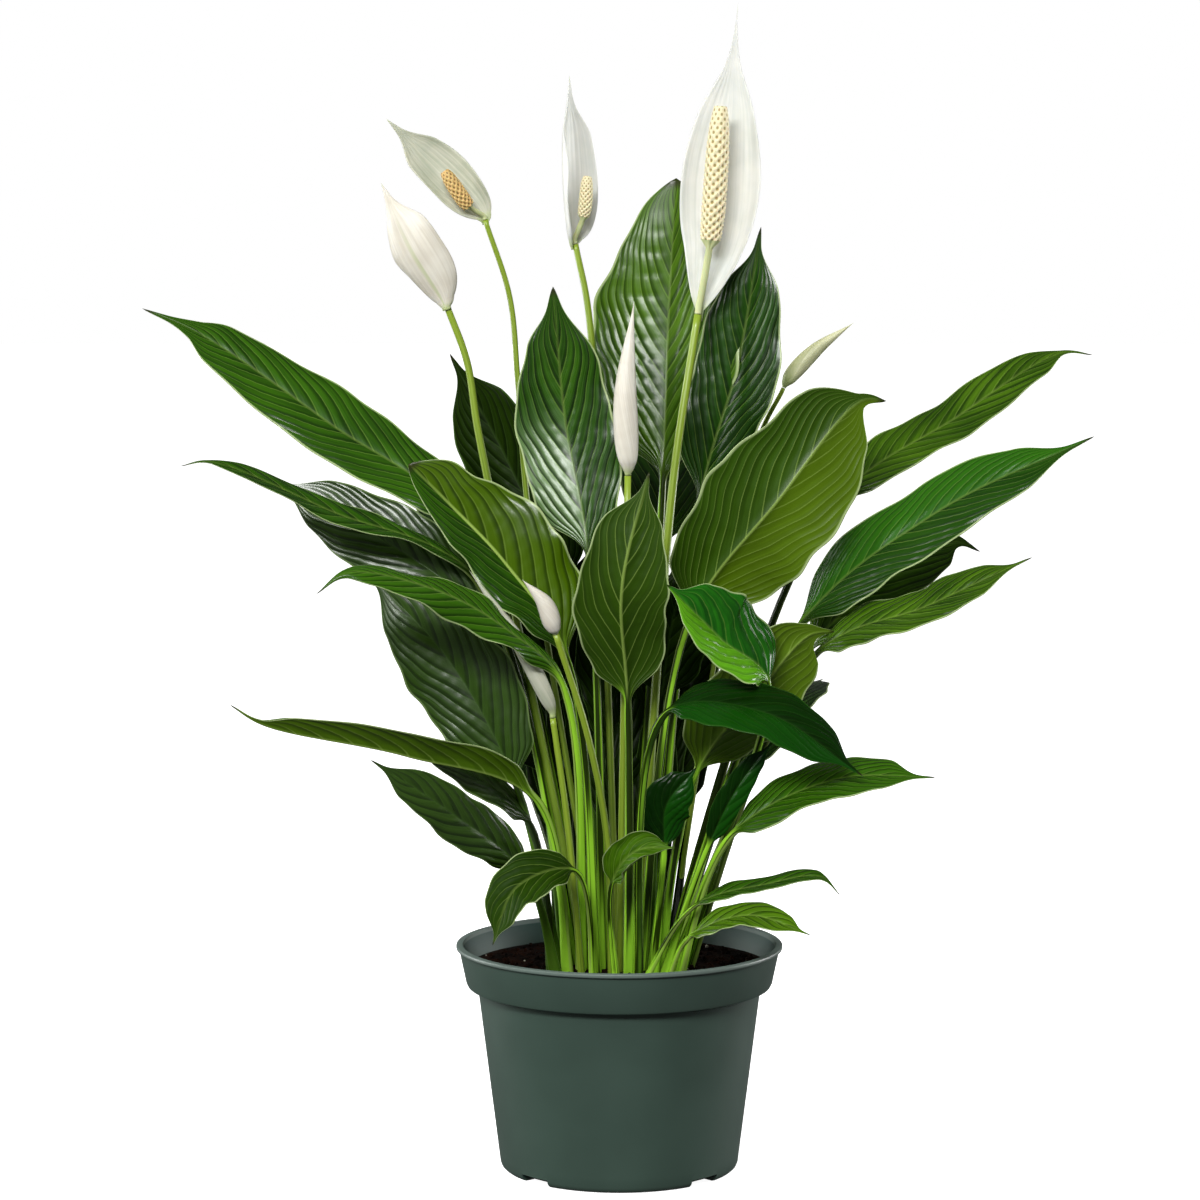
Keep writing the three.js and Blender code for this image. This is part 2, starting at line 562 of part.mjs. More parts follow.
function soilGeometry(stems) {
  const collarFoot = POT_HEIGHT - COLLAR_DEPTH;
  const stepFoot = collarFoot - STEP_HEIGHT;
  const bottom = FLOOR + SEAT_GAP;
  const outline = [
    [0, bottom],
    [innerRadius(bottom) - SOIL_CLEARANCE, bottom],
    [innerRadius(stepFoot) - SOIL_CLEARANCE, stepFoot + SOIL_CLEARANCE],
    [innerRadius(collarFoot) - SOIL_CLEARANCE, collarFoot + SOIL_CLEARANCE],
    [innerRadius(SOIL_TOP) - SOIL_CLEARANCE, SOIL_TOP],
    ...SOIL_RINGS.map((radius) => [radius, SOIL_TOP]),
    [0, SOIL_TOP],
  ];
  const body = turned(outline, ROUND_SEGMENTS);
  const position = body.getAttribute('position');
  for (let i = 0; i < position.count; i += 1) {
    const x = position.getX(i);
    const y = position.getY(i);
    const inside = Math.hypot(x, y) < SOIL_RINGS[0] + 1;
    if (inside && position.getZ(i) > SOIL_TOP - 1) {
      position.setZ(i, soilHeight(x, y));
    }
  }
  let soil = solidOf(body);
  for (const { foot, points, radius } of stems) {
    const curve = stemCurve(foot, points);
    const along = 1 / (curve.points.length - 1);
    const floor = frameAt(curve, 0, FRONT);
    floor.centre.z -= SEAT_GAP;
    const mouth = frameAt(curve, along, FRONT);
    mouth.centre.addScaledVector(mouth.forward, HOLE_ABOVE);
    const hole = loft([floor, mouth].map((frame) => roundRing(frame, radius, HOLE_SIDES)));
    soil = soil.subtract(solidOf(hole));
  }
  return geometryOfSolid(soil);
}

// Hangs a named mesh of one finish on the plant.
function add(group, name, geometry, finish) {
  const mesh = new THREE.Mesh(geometry, new THREE.MeshStandardMaterial(finish));
  mesh.name = name;
  group.add(mesh);
}

// Every stem that stands in the soil: its foot, the points above it and the radius of its hole.
function stemsInSoil() {
  const leafStems = LEAVES.map(({ foot, blade, petiole }) => {
    const radius = PETIOLE_FOOT_RADIUS * (petiole ?? 1) + HOLE_CLEARANCE;
    return { foot, points: blade, radius };
  });
  const flowerStems = FLOWERS.map(({ foot, stalk, radius }) => {
    return { foot, points: stalk, radius: radius + HOLE_CLEARANCE };
  });
  return [...leafStems, ...flowerStems];
}

const plant = new THREE.Group();
add(plant, 'pot', potGeometry(), FINISHES.pot);
add(plant, 'soil', soilGeometry(stemsInSoil()), FINISHES.soil);
for (const leaf of LEAVES) {
  add(plant, leaf.name, leafGeometry(leaf), FINISHES.leaf);
}
for (const flower of FLOWERS) {
  add(plant, `${flower.name}_stem`, stalkGeometry(flower), FINISHES.stalk);
  if (flower.spike) {
    add(plant, `${flower.name}_hood`, openHoodGeometry(flower), FINISHES.spathe);
    add(plant, `${flower.name}_spike`, spikeGeometry(flower), FINISHES.spadix);
  } else {
    add(plant, `${flower.name}_hood`, furledHoodGeometry(flower), FINISHES.spathe);
  }
}

export default plant;
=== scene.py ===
"""A peace lily in a round grower's pot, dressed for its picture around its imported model.

Everything is placed in the model's frame: +Z up, the plant's front towards -Y, and the origin in the
middle of the pot's flat base. Sizes are given in millimetres, and MM turns them into Blender's metres.
"""

import logging
import math
import random
from dataclasses import dataclass
from enum import Enum
from typing import Optional, Union

import bmesh
import bpy
import numpy as np
from mathutils import Euler, Matrix, Vector, noise

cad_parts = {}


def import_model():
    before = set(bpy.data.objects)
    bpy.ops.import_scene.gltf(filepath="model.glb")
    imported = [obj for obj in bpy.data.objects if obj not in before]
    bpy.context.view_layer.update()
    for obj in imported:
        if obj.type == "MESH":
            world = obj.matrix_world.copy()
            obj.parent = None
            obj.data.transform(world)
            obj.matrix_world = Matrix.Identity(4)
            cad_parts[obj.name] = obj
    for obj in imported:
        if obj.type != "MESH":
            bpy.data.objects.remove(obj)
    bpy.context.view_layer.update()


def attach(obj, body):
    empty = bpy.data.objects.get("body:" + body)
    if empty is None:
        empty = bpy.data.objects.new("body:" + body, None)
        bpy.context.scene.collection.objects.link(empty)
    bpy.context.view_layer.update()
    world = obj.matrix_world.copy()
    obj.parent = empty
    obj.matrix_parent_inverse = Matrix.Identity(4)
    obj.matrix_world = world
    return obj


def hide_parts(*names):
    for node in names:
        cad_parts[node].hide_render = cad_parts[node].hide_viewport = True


LOG = logging.getLogger("peace_lily")

MM = 0.001
BODY = "root"

Pair = tuple[float, float]
Triple = tuple[float, float, float]
Colour = tuple[float, float, float]
Array = np.ndarray
Amount = Union[float, Array]
Socket = bpy.types.NodeSocket
Material = bpy.types.Material

# What the input of a node takes: an output to link, a number or a colour.
Value = Union[Socket, float, Colour]

# Attributes that the materials read from a skin. PLACE holds a point's way across from -1 to 1, its way
# along, and the face it is on: 1 for the upper and -1 for the lower. GRAIN holds its place among the
# side veins, its distance from the midline in millimetres, and the piece's tint from 0 to 1: its own
# tone drawn at random, darkened with painted shade the farther back the piece stands.
PLACE = "place"
GRAIN = "grain"

# In millimetres: the soil's height, how deep a stem is rooted in it, the gap where two pieces meet,
# and how near each other two points of a mesh are one.
SOIL_TOP = 102.0
ROOT_DEPTH = 14.0
SEAT_GAP = 0.3
SAME_POINT = 0.002

# The share of a stem's lean over the soil that its root keeps in it, and where the root's rings lie,
# in spans of the stem's line.
ROOT_LEAN = 0.7
ROOT_STATIONS = (0.0, 0.6)


# ---- Lines and skins ----


def smoothstep(value: Array, low: float, high: float) -> Array:
    """Rises smoothly from 0 to 1.

    Args:
        value: The numbers to read.
        low: Where the rise starts.
        high: Where it ends.

    Returns:
        A share from 0 to 1 for each number.
    """
    share = np.clip((value - low) / (high - low), 0.0, 1.0)
    return share * share * (3 - 2 * share)


def unit(ways: Array) -> Array:
    """Gives every row of ways the length 1."""
    return ways / np.linalg.norm(ways, axis=-1, keepdims=True)


def oval_share(along: Array, peak: float, rise: float) -> Array:
    """Gives the width along a pointed oval.

    Args:
        along: Shares of the oval's length.
        peak: Where the oval is widest.
        rise: How blunt its start is.

    Returns:
        Widths from 0 at both ends to 1 at the peak.
    """
    fall = rise * (1 - peak) / peak
    inside = np.clip(along, 0.0, 1.0)
    return (inside / peak) ** rise * ((1 - inside) / (1 - peak)) ** fall


@dataclass(frozen=True)
class Frames:
    """Places along a line, each with the ways along it, to its right and up from it.

    Attributes:
        centre: Points on the line, one a row.
        forward: Unit ways along the line.
        right: Unit ways to its right.
        up: Unit ways up from it.
    """

    centre: Array
    forward: Array
    right: Array
    up: Array

    def offset(self, right: Array, up: Array) -> Array:
        """Finds points off the line.

        Args:
            right: Distances to the right, a row for each place and a column for each point.
            up: Distances up, in the same form.

        Returns:
            Points of the shape rows, columns, 3.
        """
        across = right[..., None] * self.right[:, None]
        return self.centre[:, None] + across + up[..., None] * self.up[:, None]


@dataclass(frozen=True)
class SmoothLine:
    """A smooth line through points, as a centripetal Catmull-Rom curve.

    Attributes:
        points: The points that it goes through, one a row.
    """

    points: Array

    @property
    def spans(self) -> int:
        """The number of spans between the points."""
        return len(self.points) - 1

    def at(self, places: Array) -> tuple[Array, Array]:
        """Finds points on the line.

        Args:
            places: How many spans each lies from the first point.

        Returns:
            The points, and the unit ways along the line there.
        """
        first, last = self.points[:2], self.points[-2:]
        padded = np.vstack([2 * first[0] - first[1], self.points, 2 * last[1] - last[0]])
        index = np.clip(places.astype(int), 0, self.spans - 1)
        share = (places - index)[:, None]
        x0, x1, x2, x3 = (padded[index + step] for step in range(4))
        gaps = (x1 - x0, x2 - x1, x3 - x2)
        d0, d1, d2 = (np.sqrt(np.linalg.norm(gap, axis=1))[:, None] for gap in gaps)
        start = ((x1 - x0) / d0 - (x2 - x0) / (d0 + d1) + (x2 - x1) / d1) * d1
        end = ((x2 - x1) / d1 - (x3 - x1) / (d1 + d2) + (x3 - x2) / d2) * d1
        square = 3 * (x2 - x1) - 2 * start - end
        cube = 2 * (x1 - x2) + start + end
        point = x1 + share * (start + share * (square + share * cube))
        way = start + share * (2 * square + 3 * share * cube)
        return point, unit(way)

    def places_from(self, first: int, shares: Array) -> Array:
        """Turns shares of the way to the line's end into places on it.

        Args:
            first: The point that the way starts from.
            shares: Shares of the way, measured along the straight lines between the points.

        Returns:
            The places, in spans from the first point of the line.
        """
        steps = np.linalg.norm(np.diff(self.points[first:], axis=0), axis=1)
        reached = np.concatenate([[0.0], np.cumsum(steps)])
        return np.interp(shares * reached[-1], reached, first + np.arange(len(reached)))

    def frames(self, places: Array, facing: Array) -> Frames:
        """Sets a frame at each place, turned so that its way up looks towards facing.

        Args:
            places: How many spans each lies from the first point.
            facing: One way for all of the places, or one a row.

        Returns:
            The frames.
        """
        centre, forward = self.at(places)
        facing = np.broadcast_to(facing, forward.shape)
        up = unit(facing - np.sum(facing * forward, axis=1, keepdims=True) * forward)
        return Frames(centre, forward, np.cross(forward, up), up)

    def rolled_frames(self, places: Array, facing: Array) -> Frames:
        """Sets frames that take their way up from the one above, from the last place to the first.

        Args:
            places: How many spans each lies from the first point.
            facing: Which way the last frame looks.

        Returns:
            The frames.
        """
        centre, forward = self.at(places)
        ups = np.empty_like(forward)
        up = facing
        for row in range(len(places) - 1, -1, -1):
            up = up - np.dot(up, forward[row]) * forward[row]
            up = up / np.linalg.norm(up)
            ups[row] = up
        return Frames(centre, forward, np.cross(forward, ups), ups)


def swelling(places: Array, middle: float, reach: Amount, height: Amount) -> Array:
    """Gives a smooth swelling round a middle.

    Args:
        places: Where to read it.
        middle: Where it is highest.
        reach: How far from there it has sunk to about a third.
        height: Its height.

    Returns:
        The rise at each place.
    """
    return height * np.exp(-(((places - middle) / reach) ** 2))


def round_ring(radii: Array, sides: int) -> tuple[Array, Array]:
    """Lays points round a circle, from the upper left to the right and round below.

    Args:
        radii: A radius for each row.
        sides: The number of points in a ring.

    Returns:
        The distances to the right and up of each point, a row for each radius.
    """
    angles = math.pi - (np.arange(sides) + 0.5) * 2 * math.pi / sides
    return radii[:, None] * np.cos(angles), radii[:, None] * np.sin(angles)


def stem_line(foot: Pair, points: tuple[Triple, ...]) -> SmoothLine:
    """Runs a line from a root in the soil through the foot and the points above it.

    Args:
        foot: Where the stem leaves the soil.
        points: The points above it.

    Returns:
        The line, in millimetres.
    """
    start = np.array([*foot, SOIL_TOP])
    lean = np.array(points[0]) - start
    lean = lean * ROOT_DEPTH / lean[2]
    root = start - np.array([ROOT_LEAN, ROOT_LEAN, 1.0]) * lean
    return SmoothLine(np.vstack([root, start, np.array(points)]))


def put_in_scene(name: str, bm: bmesh.types.BMesh, material: Material) -> bpy.types.Object:
    """Makes an object of a finished bmesh.

    Args:
        name: The piece's name.
        bm: The mesh, in metres. It is freed.
        material: What the piece is made of.

    Returns:
        The object, at the origin.
    """
    for face in bm.faces:
        face.smooth = True
    mesh = bpy.data.meshes.new(name)
    bm.to_mesh(mesh)
    bm.free()
    mesh.materials.append(material)
    piece = bpy.data.objects.new(name, mesh)
    bpy.context.scene.collection.objects.link(piece)
    return piece


def skin(rings: Array, places: Array, grain: Optional[Array] = None) -> bmesh.types.BMesh:
    """Wraps a grid round rings of points. Rings that shrink to a point close the skin there.

    Args:
        rings: Points in millimetres, of the shape rows, columns, 3.
        places: What PLACE holds at each point, in the same form.
        grain: What GRAIN holds at each point, in the same form.

    Returns:
        One closed mesh in metres.
    """
    rows, columns = rings.shape[:2]
    bm = bmesh.new()
    bmesh.ops.create_grid(bm, x_segments=columns, y_segments=rows - 1, size=1.0)
    place_layer = bm.verts.layers.float_vector.new(PLACE)
    grain_layer = bm.verts.layers.float_vector.new(GRAIN)
    for vertex in bm.verts:
        column = round((vertex.co.x + 1) / 2 * columns) % columns
        row = round((vertex.co.y + 1) / 2 * (rows - 1))
        vertex.co = rings[row, column] * MM
        vertex[place_layer] = places[row, column]
        if grain is not None:
            vertex[grain_layer] = grain[row, column]
    bmesh.ops.remove_doubles(bm, verts=bm.verts, dist=SAME_POINT * MM)
    ends = [edge for edge in bm.edges if edge.is_boundary]
    if ends:
        bmesh.ops.holes_fill(bm, edges=ends, sides=0)
    bmesh.ops.recalc_face_normals(bm, faces=bm.faces)
    return bm


def settle(piece: bpy.types.Object, slot: str, *nodes: str) -> None:
    """Hangs a piece on the model and reports it.

    Args:
        piece: The finished piece.
        slot: The record's material slot for the piece. It is not used.
        *nodes: The nodes that it stands for.
    """
    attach(piece, BODY)
    if nodes:
        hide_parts(*nodes)
    stands_for = ", ".join(nodes) or "no node"
    LOG.info("%s: %d faces, for %s", piece.name, len(piece.data.polygons), stands_for)


# ---- Finishes ----


def dimmed(colour: Colour, share: float) -> Colour:
    """Gives a darker colour, as a share of the one given."""
    return tuple(share * part for part in colour)


class Bench:
    """Lays out the nodes of one material round its Principled shader."""

    def __init__(self, name: str, roughness: float = 0.5) -> None:
        """Starts a material.

        Args:
            name: The material's name.
            roughness: Its roughness where nothing else sets it.
        """
        self.material = bpy.data.materials.new(name)
        self.material.use_nodes = True
        self.tree = self.material.node_tree
        self.shader = next(node for node in self.tree.nodes if node.type == "BSDF_PRINCIPLED")
        self.shader.inputs["Roughness"].default_value = roughness

    def plug(self, socket: Socket, value: Value) -> None:
        """Links a socket to another, or sets it to a number or colour.

        Args:
            socket: The input.
            value: An output to link, a number, or a colour.
        """
        if isinstance(value, Socket):
            self.tree.links.new(value, socket)
        elif socket.type == "RGBA":
            socket.default_value = (*value, 1.0)
        else:
            socket.default_value = value

    def node(self, kind: str, **settings: Union[str, bool]) -> bpy.types.Node:
        """Adds a node.

        Args:
            kind: The node's type.
            **settings: Properties to set on it.

        Returns:
            The node.
        """
        made = self.tree.nodes.new(kind)
        for key, value in settings.items():
            setattr(made, key, value)
        return made

    def math(self, operation: str, first: Value, second: Value = 0.0) -> Socket:
        """Works out one number from two.

        Args:
            operation: The operation of the Math node.
            first: A socket or a number.
            second: A socket or a number.

        Returns:
            The result.
        """
        made = self.node("ShaderNodeMath", operation=operation)
        self.plug(made.inputs[0], first)
        self.plug(made.inputs[1], second)
        return made.outputs[0]

    def times(self, first: Value, second: Value) -> Socket:
        """Multiplies two numbers."""
        return self.math("MULTIPLY", first, second)

    def plus(self, first: Value, second: Value) -> Socket:
        """Adds two numbers."""
        return self.math("ADD", first, second)

    def unsigned(self, value: Value) -> Socket:
        """Gives a number without its sign."""
        return self.math("ABSOLUTE", value)

    def off_whole(self, value: Value) -> Socket:
        """Gives how far a number is from the nearest whole one."""
        return self.math("PINGPONG", value, 0.5)

    def ranged(
        self, value: Value, low: float, high: float, start: float = 0.0, end: float = 1.0
    ) -> Socket:
        """Maps a range of numbers smoothly onto another.

        Args:
            value: A socket.
            low: Where the range starts.
            high: Where it ends.
            start: The result at low.
            end: The result at high.

        Returns:
            The result.
        """
        made = self.node("ShaderNodeMapRange", interpolation_type="SMOOTHSTEP")
        for index, each in enumerate((value, low, high, start, end)):
            self.plug(made.inputs[index], each)
        return made.outputs[0]

    def mix(self, share: Value, first: Value, second: Value) -> Socket:
        """Mixes two colours, which a Mix node takes in its inputs 6 and 7 and gives in its output 2.

        Args:
            share: How much of the second there is.
            first: A socket or a colour.
            second: A socket or a colour.

        Returns:
            The mixed colour.
        """
        made = self.node("ShaderNodeMix", data_type="RGBA", clamp_factor=True)
        self.plug(made.inputs[0], share)
        self.plug(made.inputs[6], first)
        self.plug(made.inputs[7], second)
        return made.outputs[2]

    def triple(self, name: str) -> tuple[Socket, ...]:
        """Reads the three numbers of an attribute of the piece.

        Args:
            name: The attribute's name.

        Returns:
            A socket for each number.
        """
        read = self.node("ShaderNodeAttribute", attribute_name=name)
        return self.split(read.outputs["Vector"])

    def split(self, vector: Value) -> tuple[Socket, ...]:
        """Gives a socket for each of a vector's three numbers.

        Args:
            vector: The vector.

        Returns:
            The three sockets.
        """
        made = self.node("ShaderNodeSeparateXYZ")
        self.plug(made.inputs[0], vector)
        return tuple(made.outputs)

    def vector(self, x: Value, y: Value, z: Value) -> Socket:
        """Joins three numbers.

        Args:
            x: A socket or a number.
            y: A socket or a number.
            z: A socket or a number.

        Returns:
            The vector.
        """
        made = self.node("ShaderNodeCombineXYZ")
        for socket, value in zip(made.inputs, (x, y, z)):
            self.plug(socket, value)
        return made.outputs[0]

    def stretched(self, first: Value, second: Value, waves: Pair, own: Value = 0.0) -> Socket:
        """Gives a place for a noise that is drawn out one way.

        Args:
            first: The place one way.
            second: The place the other way.
            waves: How many waves of the noise fit in one unit of each.
            own: Which of many noises it is.

        Returns:
            The place as a vector.
        """
        return self.vector(self.times(first, waves[0]), self.times(second, waves[1]), own)

    def object_place(self) -> Socket:
        """Gives the place on the piece, in metres in the model's frame."""
        return self.node("ShaderNodeTexCoord").outputs["Object"]

    def noise(self, vector: Value, scale: float, detail: float = 2.0) -> Socket:
        """Makes soft noise from 0 to 1.

        Args:
            vector: Where to read it.
            scale: How many waves of it fit in one unit.
            detail: How many finer layers it has.

        Returns:
            The noise.
        """
        made = self.node("ShaderNodeTexNoise")
        self.plug(made.inputs["Vector"], vector)
        made.inputs["Scale"].default_value = scale
        made.inputs["Detail"].default_value = detail
        return made.outputs[0]

    def bump(self, height: Value, distance: float, strength: float = 1.0) -> None:
        """Raises the surface by a height from 0 to 1.

        Args:
            height: The height.
            distance: What a height of 1 stands for, in metres.
            strength: How much of it counts.
        """
        made = self.node("ShaderNodeBump")
        made.inputs["Strength"].default_value = strength
        made.inputs["Distance"].default_value = distance
        self.plug(made.inputs["Height"], height)
        self.plug(self.shader.inputs["Normal"], made.outputs[0])

    def finish(self, colour: Value, **constants: Union[float, tuple[float, ...]]) -> Material:
        """Gives the shader its colour and its constant numbers.

        Args:
            colour: The base colour.
            **constants: Shader inputs by name, with underscores for spaces.

        Returns:
            The finished material.
        """
        self.plug(self.shader.inputs["Base Color"], colour)
        for key, value in constants.items():
            self.shader.inputs[key.replace("_", " ")].default_value = value
        return self.material


@dataclass(frozen=True)
class LeafPattern:
    """How the skin of every leaf is drawn.

    Each pair is where a change starts and where it ends: across the blade from the midrib at 0 to the
    edge at 1, along it from the neck at 0 to the tip at 1, and past a side vein as a share of the gap
    to the next. The midrib's own and relief are in millimetres. wide and fine count waves by side vein
    and across, patch counts them in a metre, and own sets the noise of two leaves apart. The rest are
    shares.
    """

    faces: Pair = (-0.4, 0.4)
    blade_start: Pair = (0.0, 0.09)
    upper_mood: Pair = (0.30, 0.72)
    mood: Pair = (0.2, 0.8)
    under_dim: float = 0.50
    # Painted light on one half of the blade.
    lit_dim: float = 0.6
    lit_border: Pair = (-0.03, 0.03)
    lit_fade: float = 0.3
    # Painted shade on the upper face just past each side vein.
    furrow_shade_start: Pair = (0.02, 0.12)
    furrow_shade_end: Pair = (0.10, 0.60)
    furrow_shade_dim: float = 0.35
    furrow_shade_under: float = 0.3
    vein: Pair = (0.015, 0.07)
    vein_out: Pair = (0.3, 1.0)
    vein_outer: float = 0.5
    vein_faces: Pair = (0.32, 0.16)
    midrib: Pair = (0.3, 1.1)
    midrib_under: float = 0.55
    midrib_out: Pair = (0.6, 1.0)
    midrib_tip: float = 0.2
    # The painted highlight along the blade's edge.
    rim: Pair = (0.945, 0.980)
    rim_highlight_share: float = 0.70
    dry: Pair = (0.955, 0.985)
    dry_share: float = 0.8
    wide: Pair = (1.3, 0.9)
    fine: Pair = (6.0, 1.8)
    patch: float = 26.0
    drift: float = 0.35
    tint_drift: float = 0.25
    own: float = 23.0
    rough_drift: float = 0.05
    rough_under: float = 0.15
    quilt_in: Pair = (0.02, 0.25)
    quilt_out: Pair = (0.80, 1.0)
    quilt_edge: float = 0.2
    quilt_end: Pair = (0.72, 0.90)
    grain: float = 0.08
    grain_end: Pair = (0.70, 0.92)
    relief: float = 0.28

    def by_face(self, bench: Bench, under: float, upper: float) -> Socket:
        """Gives one number on the lower face and another on the upper.

        Args:
            bench: The material under way.
            under: The number on the lower face.
            upper: The number on the upper face.

        Returns:
            The number at each point.
        """
        _, _, side = bench.triple(PLACE)
        return bench.ranged(side, *self.faces, under, upper)


PATTERN = LeafPattern()


@dataclass(frozen=True)
class StemPattern:
    """How the stem of every leaf is drawn.

    lines counts waves across and along, and own sets the lines of two leaves apart. length is on the
    way from the root at -2 to the neck at 0, and lift is how much lighter the stem is at the start of
    it and at its end: painted shade that darkens it towards the neck. The rest are shares.
    """

    lines: Pair = (1.6, 1.3)
    own: float = 40.0
    line_share: float = 3.2
    tint_share: float = 1.1
    length: Pair = (-1.0, -0.1)
    lift: Pair = (0.15, -0.35)
    mood: Pair = (1.90, 2.45)
    dim: float = 0.05
    # The painted highlight along the stems' edges.
    edge: Pair = (0.80, 0.95)
    edge_highlight_share: float = 0.75


STEM = StemPattern()


@dataclass(frozen=True)
class LeafSkin:
    """The waxy skin of a leaf and its stem.

    Attributes:
        name: The material's name.
        deep: The upper face along the side veins, where a dimmed copy of it is painted shade.
        fresh: The upper face between them.
        under: The lower face.
        vein: The midrib and the side veins, and the painted highlight on the stem's edges.
        rim: The painted highlight along the thin edge of the blade.
        dry: The end of the tip.
        stem: The leaf's stem at its lightest.
        lit_half: The painted light on the half that the light shines through, where there is one.
        lit_side: Which half that is: 1 for the right and -1 for the left.
        lit_end: How far along the blade that light reaches, where 1 is the tip.
        midrib: How pale the midrib is on the upper face.
        roughness: The upper face's roughness.
        gloss: How strongly it mirrors.
        furrow_shade: How dark the painted shade on the upper face is beside each side vein.
    """

    name: str
    deep: Colour = (0.006, 0.028, 0.001)
    fresh: Colour = (0.030, 0.105, 0.002)
    under: Colour = (0.066, 0.142, 0.002)
    vein: Colour = (0.300, 0.430, 0.090)
    rim: Colour = (0.450, 0.560, 0.260)
    dry: Colour = (0.020, 0.018, 0.006)
    stem: Colour = (0.270, 0.560, 0.030)
    lit_half: Optional[Colour] = None
    lit_side: float = 1.0
    lit_end: float = 2.0
    midrib: float = 0.16
    roughness: float = 0.21
    gloss: float = 0.27
    furrow_shade: float = 0.65

    def faces(self, bench: Bench, mood: Socket) -> Socket:
        """Colours the two faces of the blade, and paints light on the half that the light shines
        through.

        Args:
            bench: The material under way.
            mood: A soft drift from 0 to 1 over the blade.

        Returns:
            The faces' colour.
        """
        upper = bench.mix(bench.ranged(mood, *PATTERN.upper_mood), self.deep, self.fresh)
        shaded = dimmed(self.under, PATTERN.under_dim)
        under = bench.mix(bench.ranged(mood, *PATTERN.mood), shaded, self.under)
        blade = bench.mix(PATTERN.by_face(bench, 0.0, 1.0), under, upper)
        if self.lit_half is None:
            return blade
        across, along, _ = bench.triple(PLACE)
        # Painted light on one half of the blade, fading out towards lit_end.
        dim_glow = dimmed(self.lit_half, PATTERN.lit_dim)
        glow = bench.mix(bench.ranged(mood, *PATTERN.mood), dim_glow, self.lit_half)
        lit = bench.ranged(bench.times(across, self.lit_side), *PATTERN.lit_border)
        reach = bench.ranged(along, self.lit_end - PATTERN.lit_fade, self.lit_end, 1.0, 0.0)
        return bench.mix(bench.times(lit, reach), blade, glow)

    def veined(self, bench: Bench, blade: Socket) -> Socket:
        """Draws the painted shade beside the side veins, the side veins and the midrib.

        Args:
            bench: The material under way.
            blade: The faces' colour.

        Returns:
            The colour with the veins.
        """
        across, along, _ = bench.triple(PLACE)
        phase, from_midrib, _ = bench.triple(GRAIN)
        # Painted shade on the upper face, darkest just past each side vein.
        past = bench.math("FRACT", phase)
        fade = bench.ranged(past, *PATTERN.furrow_shade_end, self.furrow_shade, 0.0)
        furrow_shade = bench.times(bench.ranged(past, *PATTERN.furrow_shade_start), fade)
        furrow_shade = bench.times(furrow_shade, PATTERN.by_face(bench, PATTERN.furrow_shade_under, 1.0))
        blade = bench.mix(furrow_shade, blade, dimmed(self.deep, PATTERN.furrow_shade_dim))
        out = bench.ranged(bench.unsigned(across), *PATTERN.vein_out, 1.0, PATTERN.vein_outer)
        vein = bench.times(bench.ranged(bench.off_whole(phase), *PATTERN.vein, 1.0, 0.0), out)
        vein = bench.times(vein, PATTERN.by_face(bench, *PATTERN.vein_faces))
        blade = bench.mix(vein, blade, self.vein)
        pale = PATTERN.by_face(bench, PATTERN.midrib_under, self.midrib)
        midrib = bench.times(bench.ranged(from_midrib, *PATTERN.midrib, 1.0, 0.0), pale)
        thinner = bench.ranged(along, *PATTERN.midrib_out, 1.0, PATTERN.midrib_tip)
        return bench.mix(bench.times(midrib, thinner), blade, self.vein)

    def blade_colour(self, bench: Bench, mood: Socket) -> Socket:
        """Colours the blade with its veins, the painted highlight on its rim, and its tip.

        Args:
            bench: The material under way.
            mood: A soft drift from 0 to 1 over the blade.

        Returns:
            The blade's colour.
        """
        across, along, _ = bench.triple(PLACE)
        blade = self.veined(bench, self.faces(bench, mood))
        # A painted highlight along the blade's thin edge.
        rim = bench.ranged(bench.unsigned(across), *PATTERN.rim, 0.0, PATTERN.rim_highlight_share)
        blade = bench.mix(rim, blade, self.rim)
        return bench.mix(bench.ranged(along, *PATTERN.dry, 0.0, PATTERN.dry_share), blade, self.dry)

    def stem_colour(self, bench: Bench) -> Socket:
        """Colours the stem, with fine lines along it, painted shade and painted highlights on its edges.

        Args:
            bench: The material under way.

        Returns:
            The stem's colour.
        """
        across, along, _ = bench.triple(PLACE)
        _, _, tint_and_shade = bench.triple(GRAIN)
        own = bench.times(tint_and_shade, STEM.own)
        line = bench.noise(bench.stretched(across, along, STEM.lines, own), 1.0)
        mood = bench.plus(bench.times(line, STEM.line_share), bench.times(tint_and_shade, STEM.tint_share))
        # Painted shade: darker towards the neck and on stems farther back.
        mood = bench.plus(mood, bench.ranged(along, *STEM.length, *STEM.lift))
        stem = bench.mix(bench.ranged(mood, *STEM.mood), dimmed(self.stem, STEM.dim), self.stem)
        # A painted highlight along the stem's edges, strongest on the lighter stems.
        edge = bench.ranged(bench.unsigned(across), *STEM.edge, 0.0, STEM.edge_highlight_share)
        return bench.mix(bench.times(edge, tint_and_shade), stem, self.vein)

    def raise_quilt(self, bench: Bench, streak: Socket) -> None:
        """Raises the blade between its side veins, with fine streaks over all.

        Args:
            bench: The material under way.
            streak: The fine streaks.
        """
        across, along, side = bench.triple(PLACE)
        phase, _, _ = bench.triple(GRAIN)
        off = bench.unsigned(across)
        ridge = bench.math("SINE", bench.times(bench.off_whole(phase), math.pi))
        outer = bench.ranged(off, *PATTERN.quilt_out, 1.0, PATTERN.quilt_edge)
        spread = bench.times(bench.ranged(off, *PATTERN.quilt_in), outer)
        spread = bench.times(spread, bench.ranged(along, *PATTERN.quilt_end, 1.0, 0.0))
        spread = bench.times(spread, bench.ranged(along, *PATTERN.blade_start))
        spread = bench.times(spread, side)
        grain = bench.times(streak, bench.ranged(along, *PATTERN.grain_end, PATTERN.grain, 0.0))
        bench.bump(bench.plus(bench.times(ridge, spread), grain), PATTERN.relief * MM)

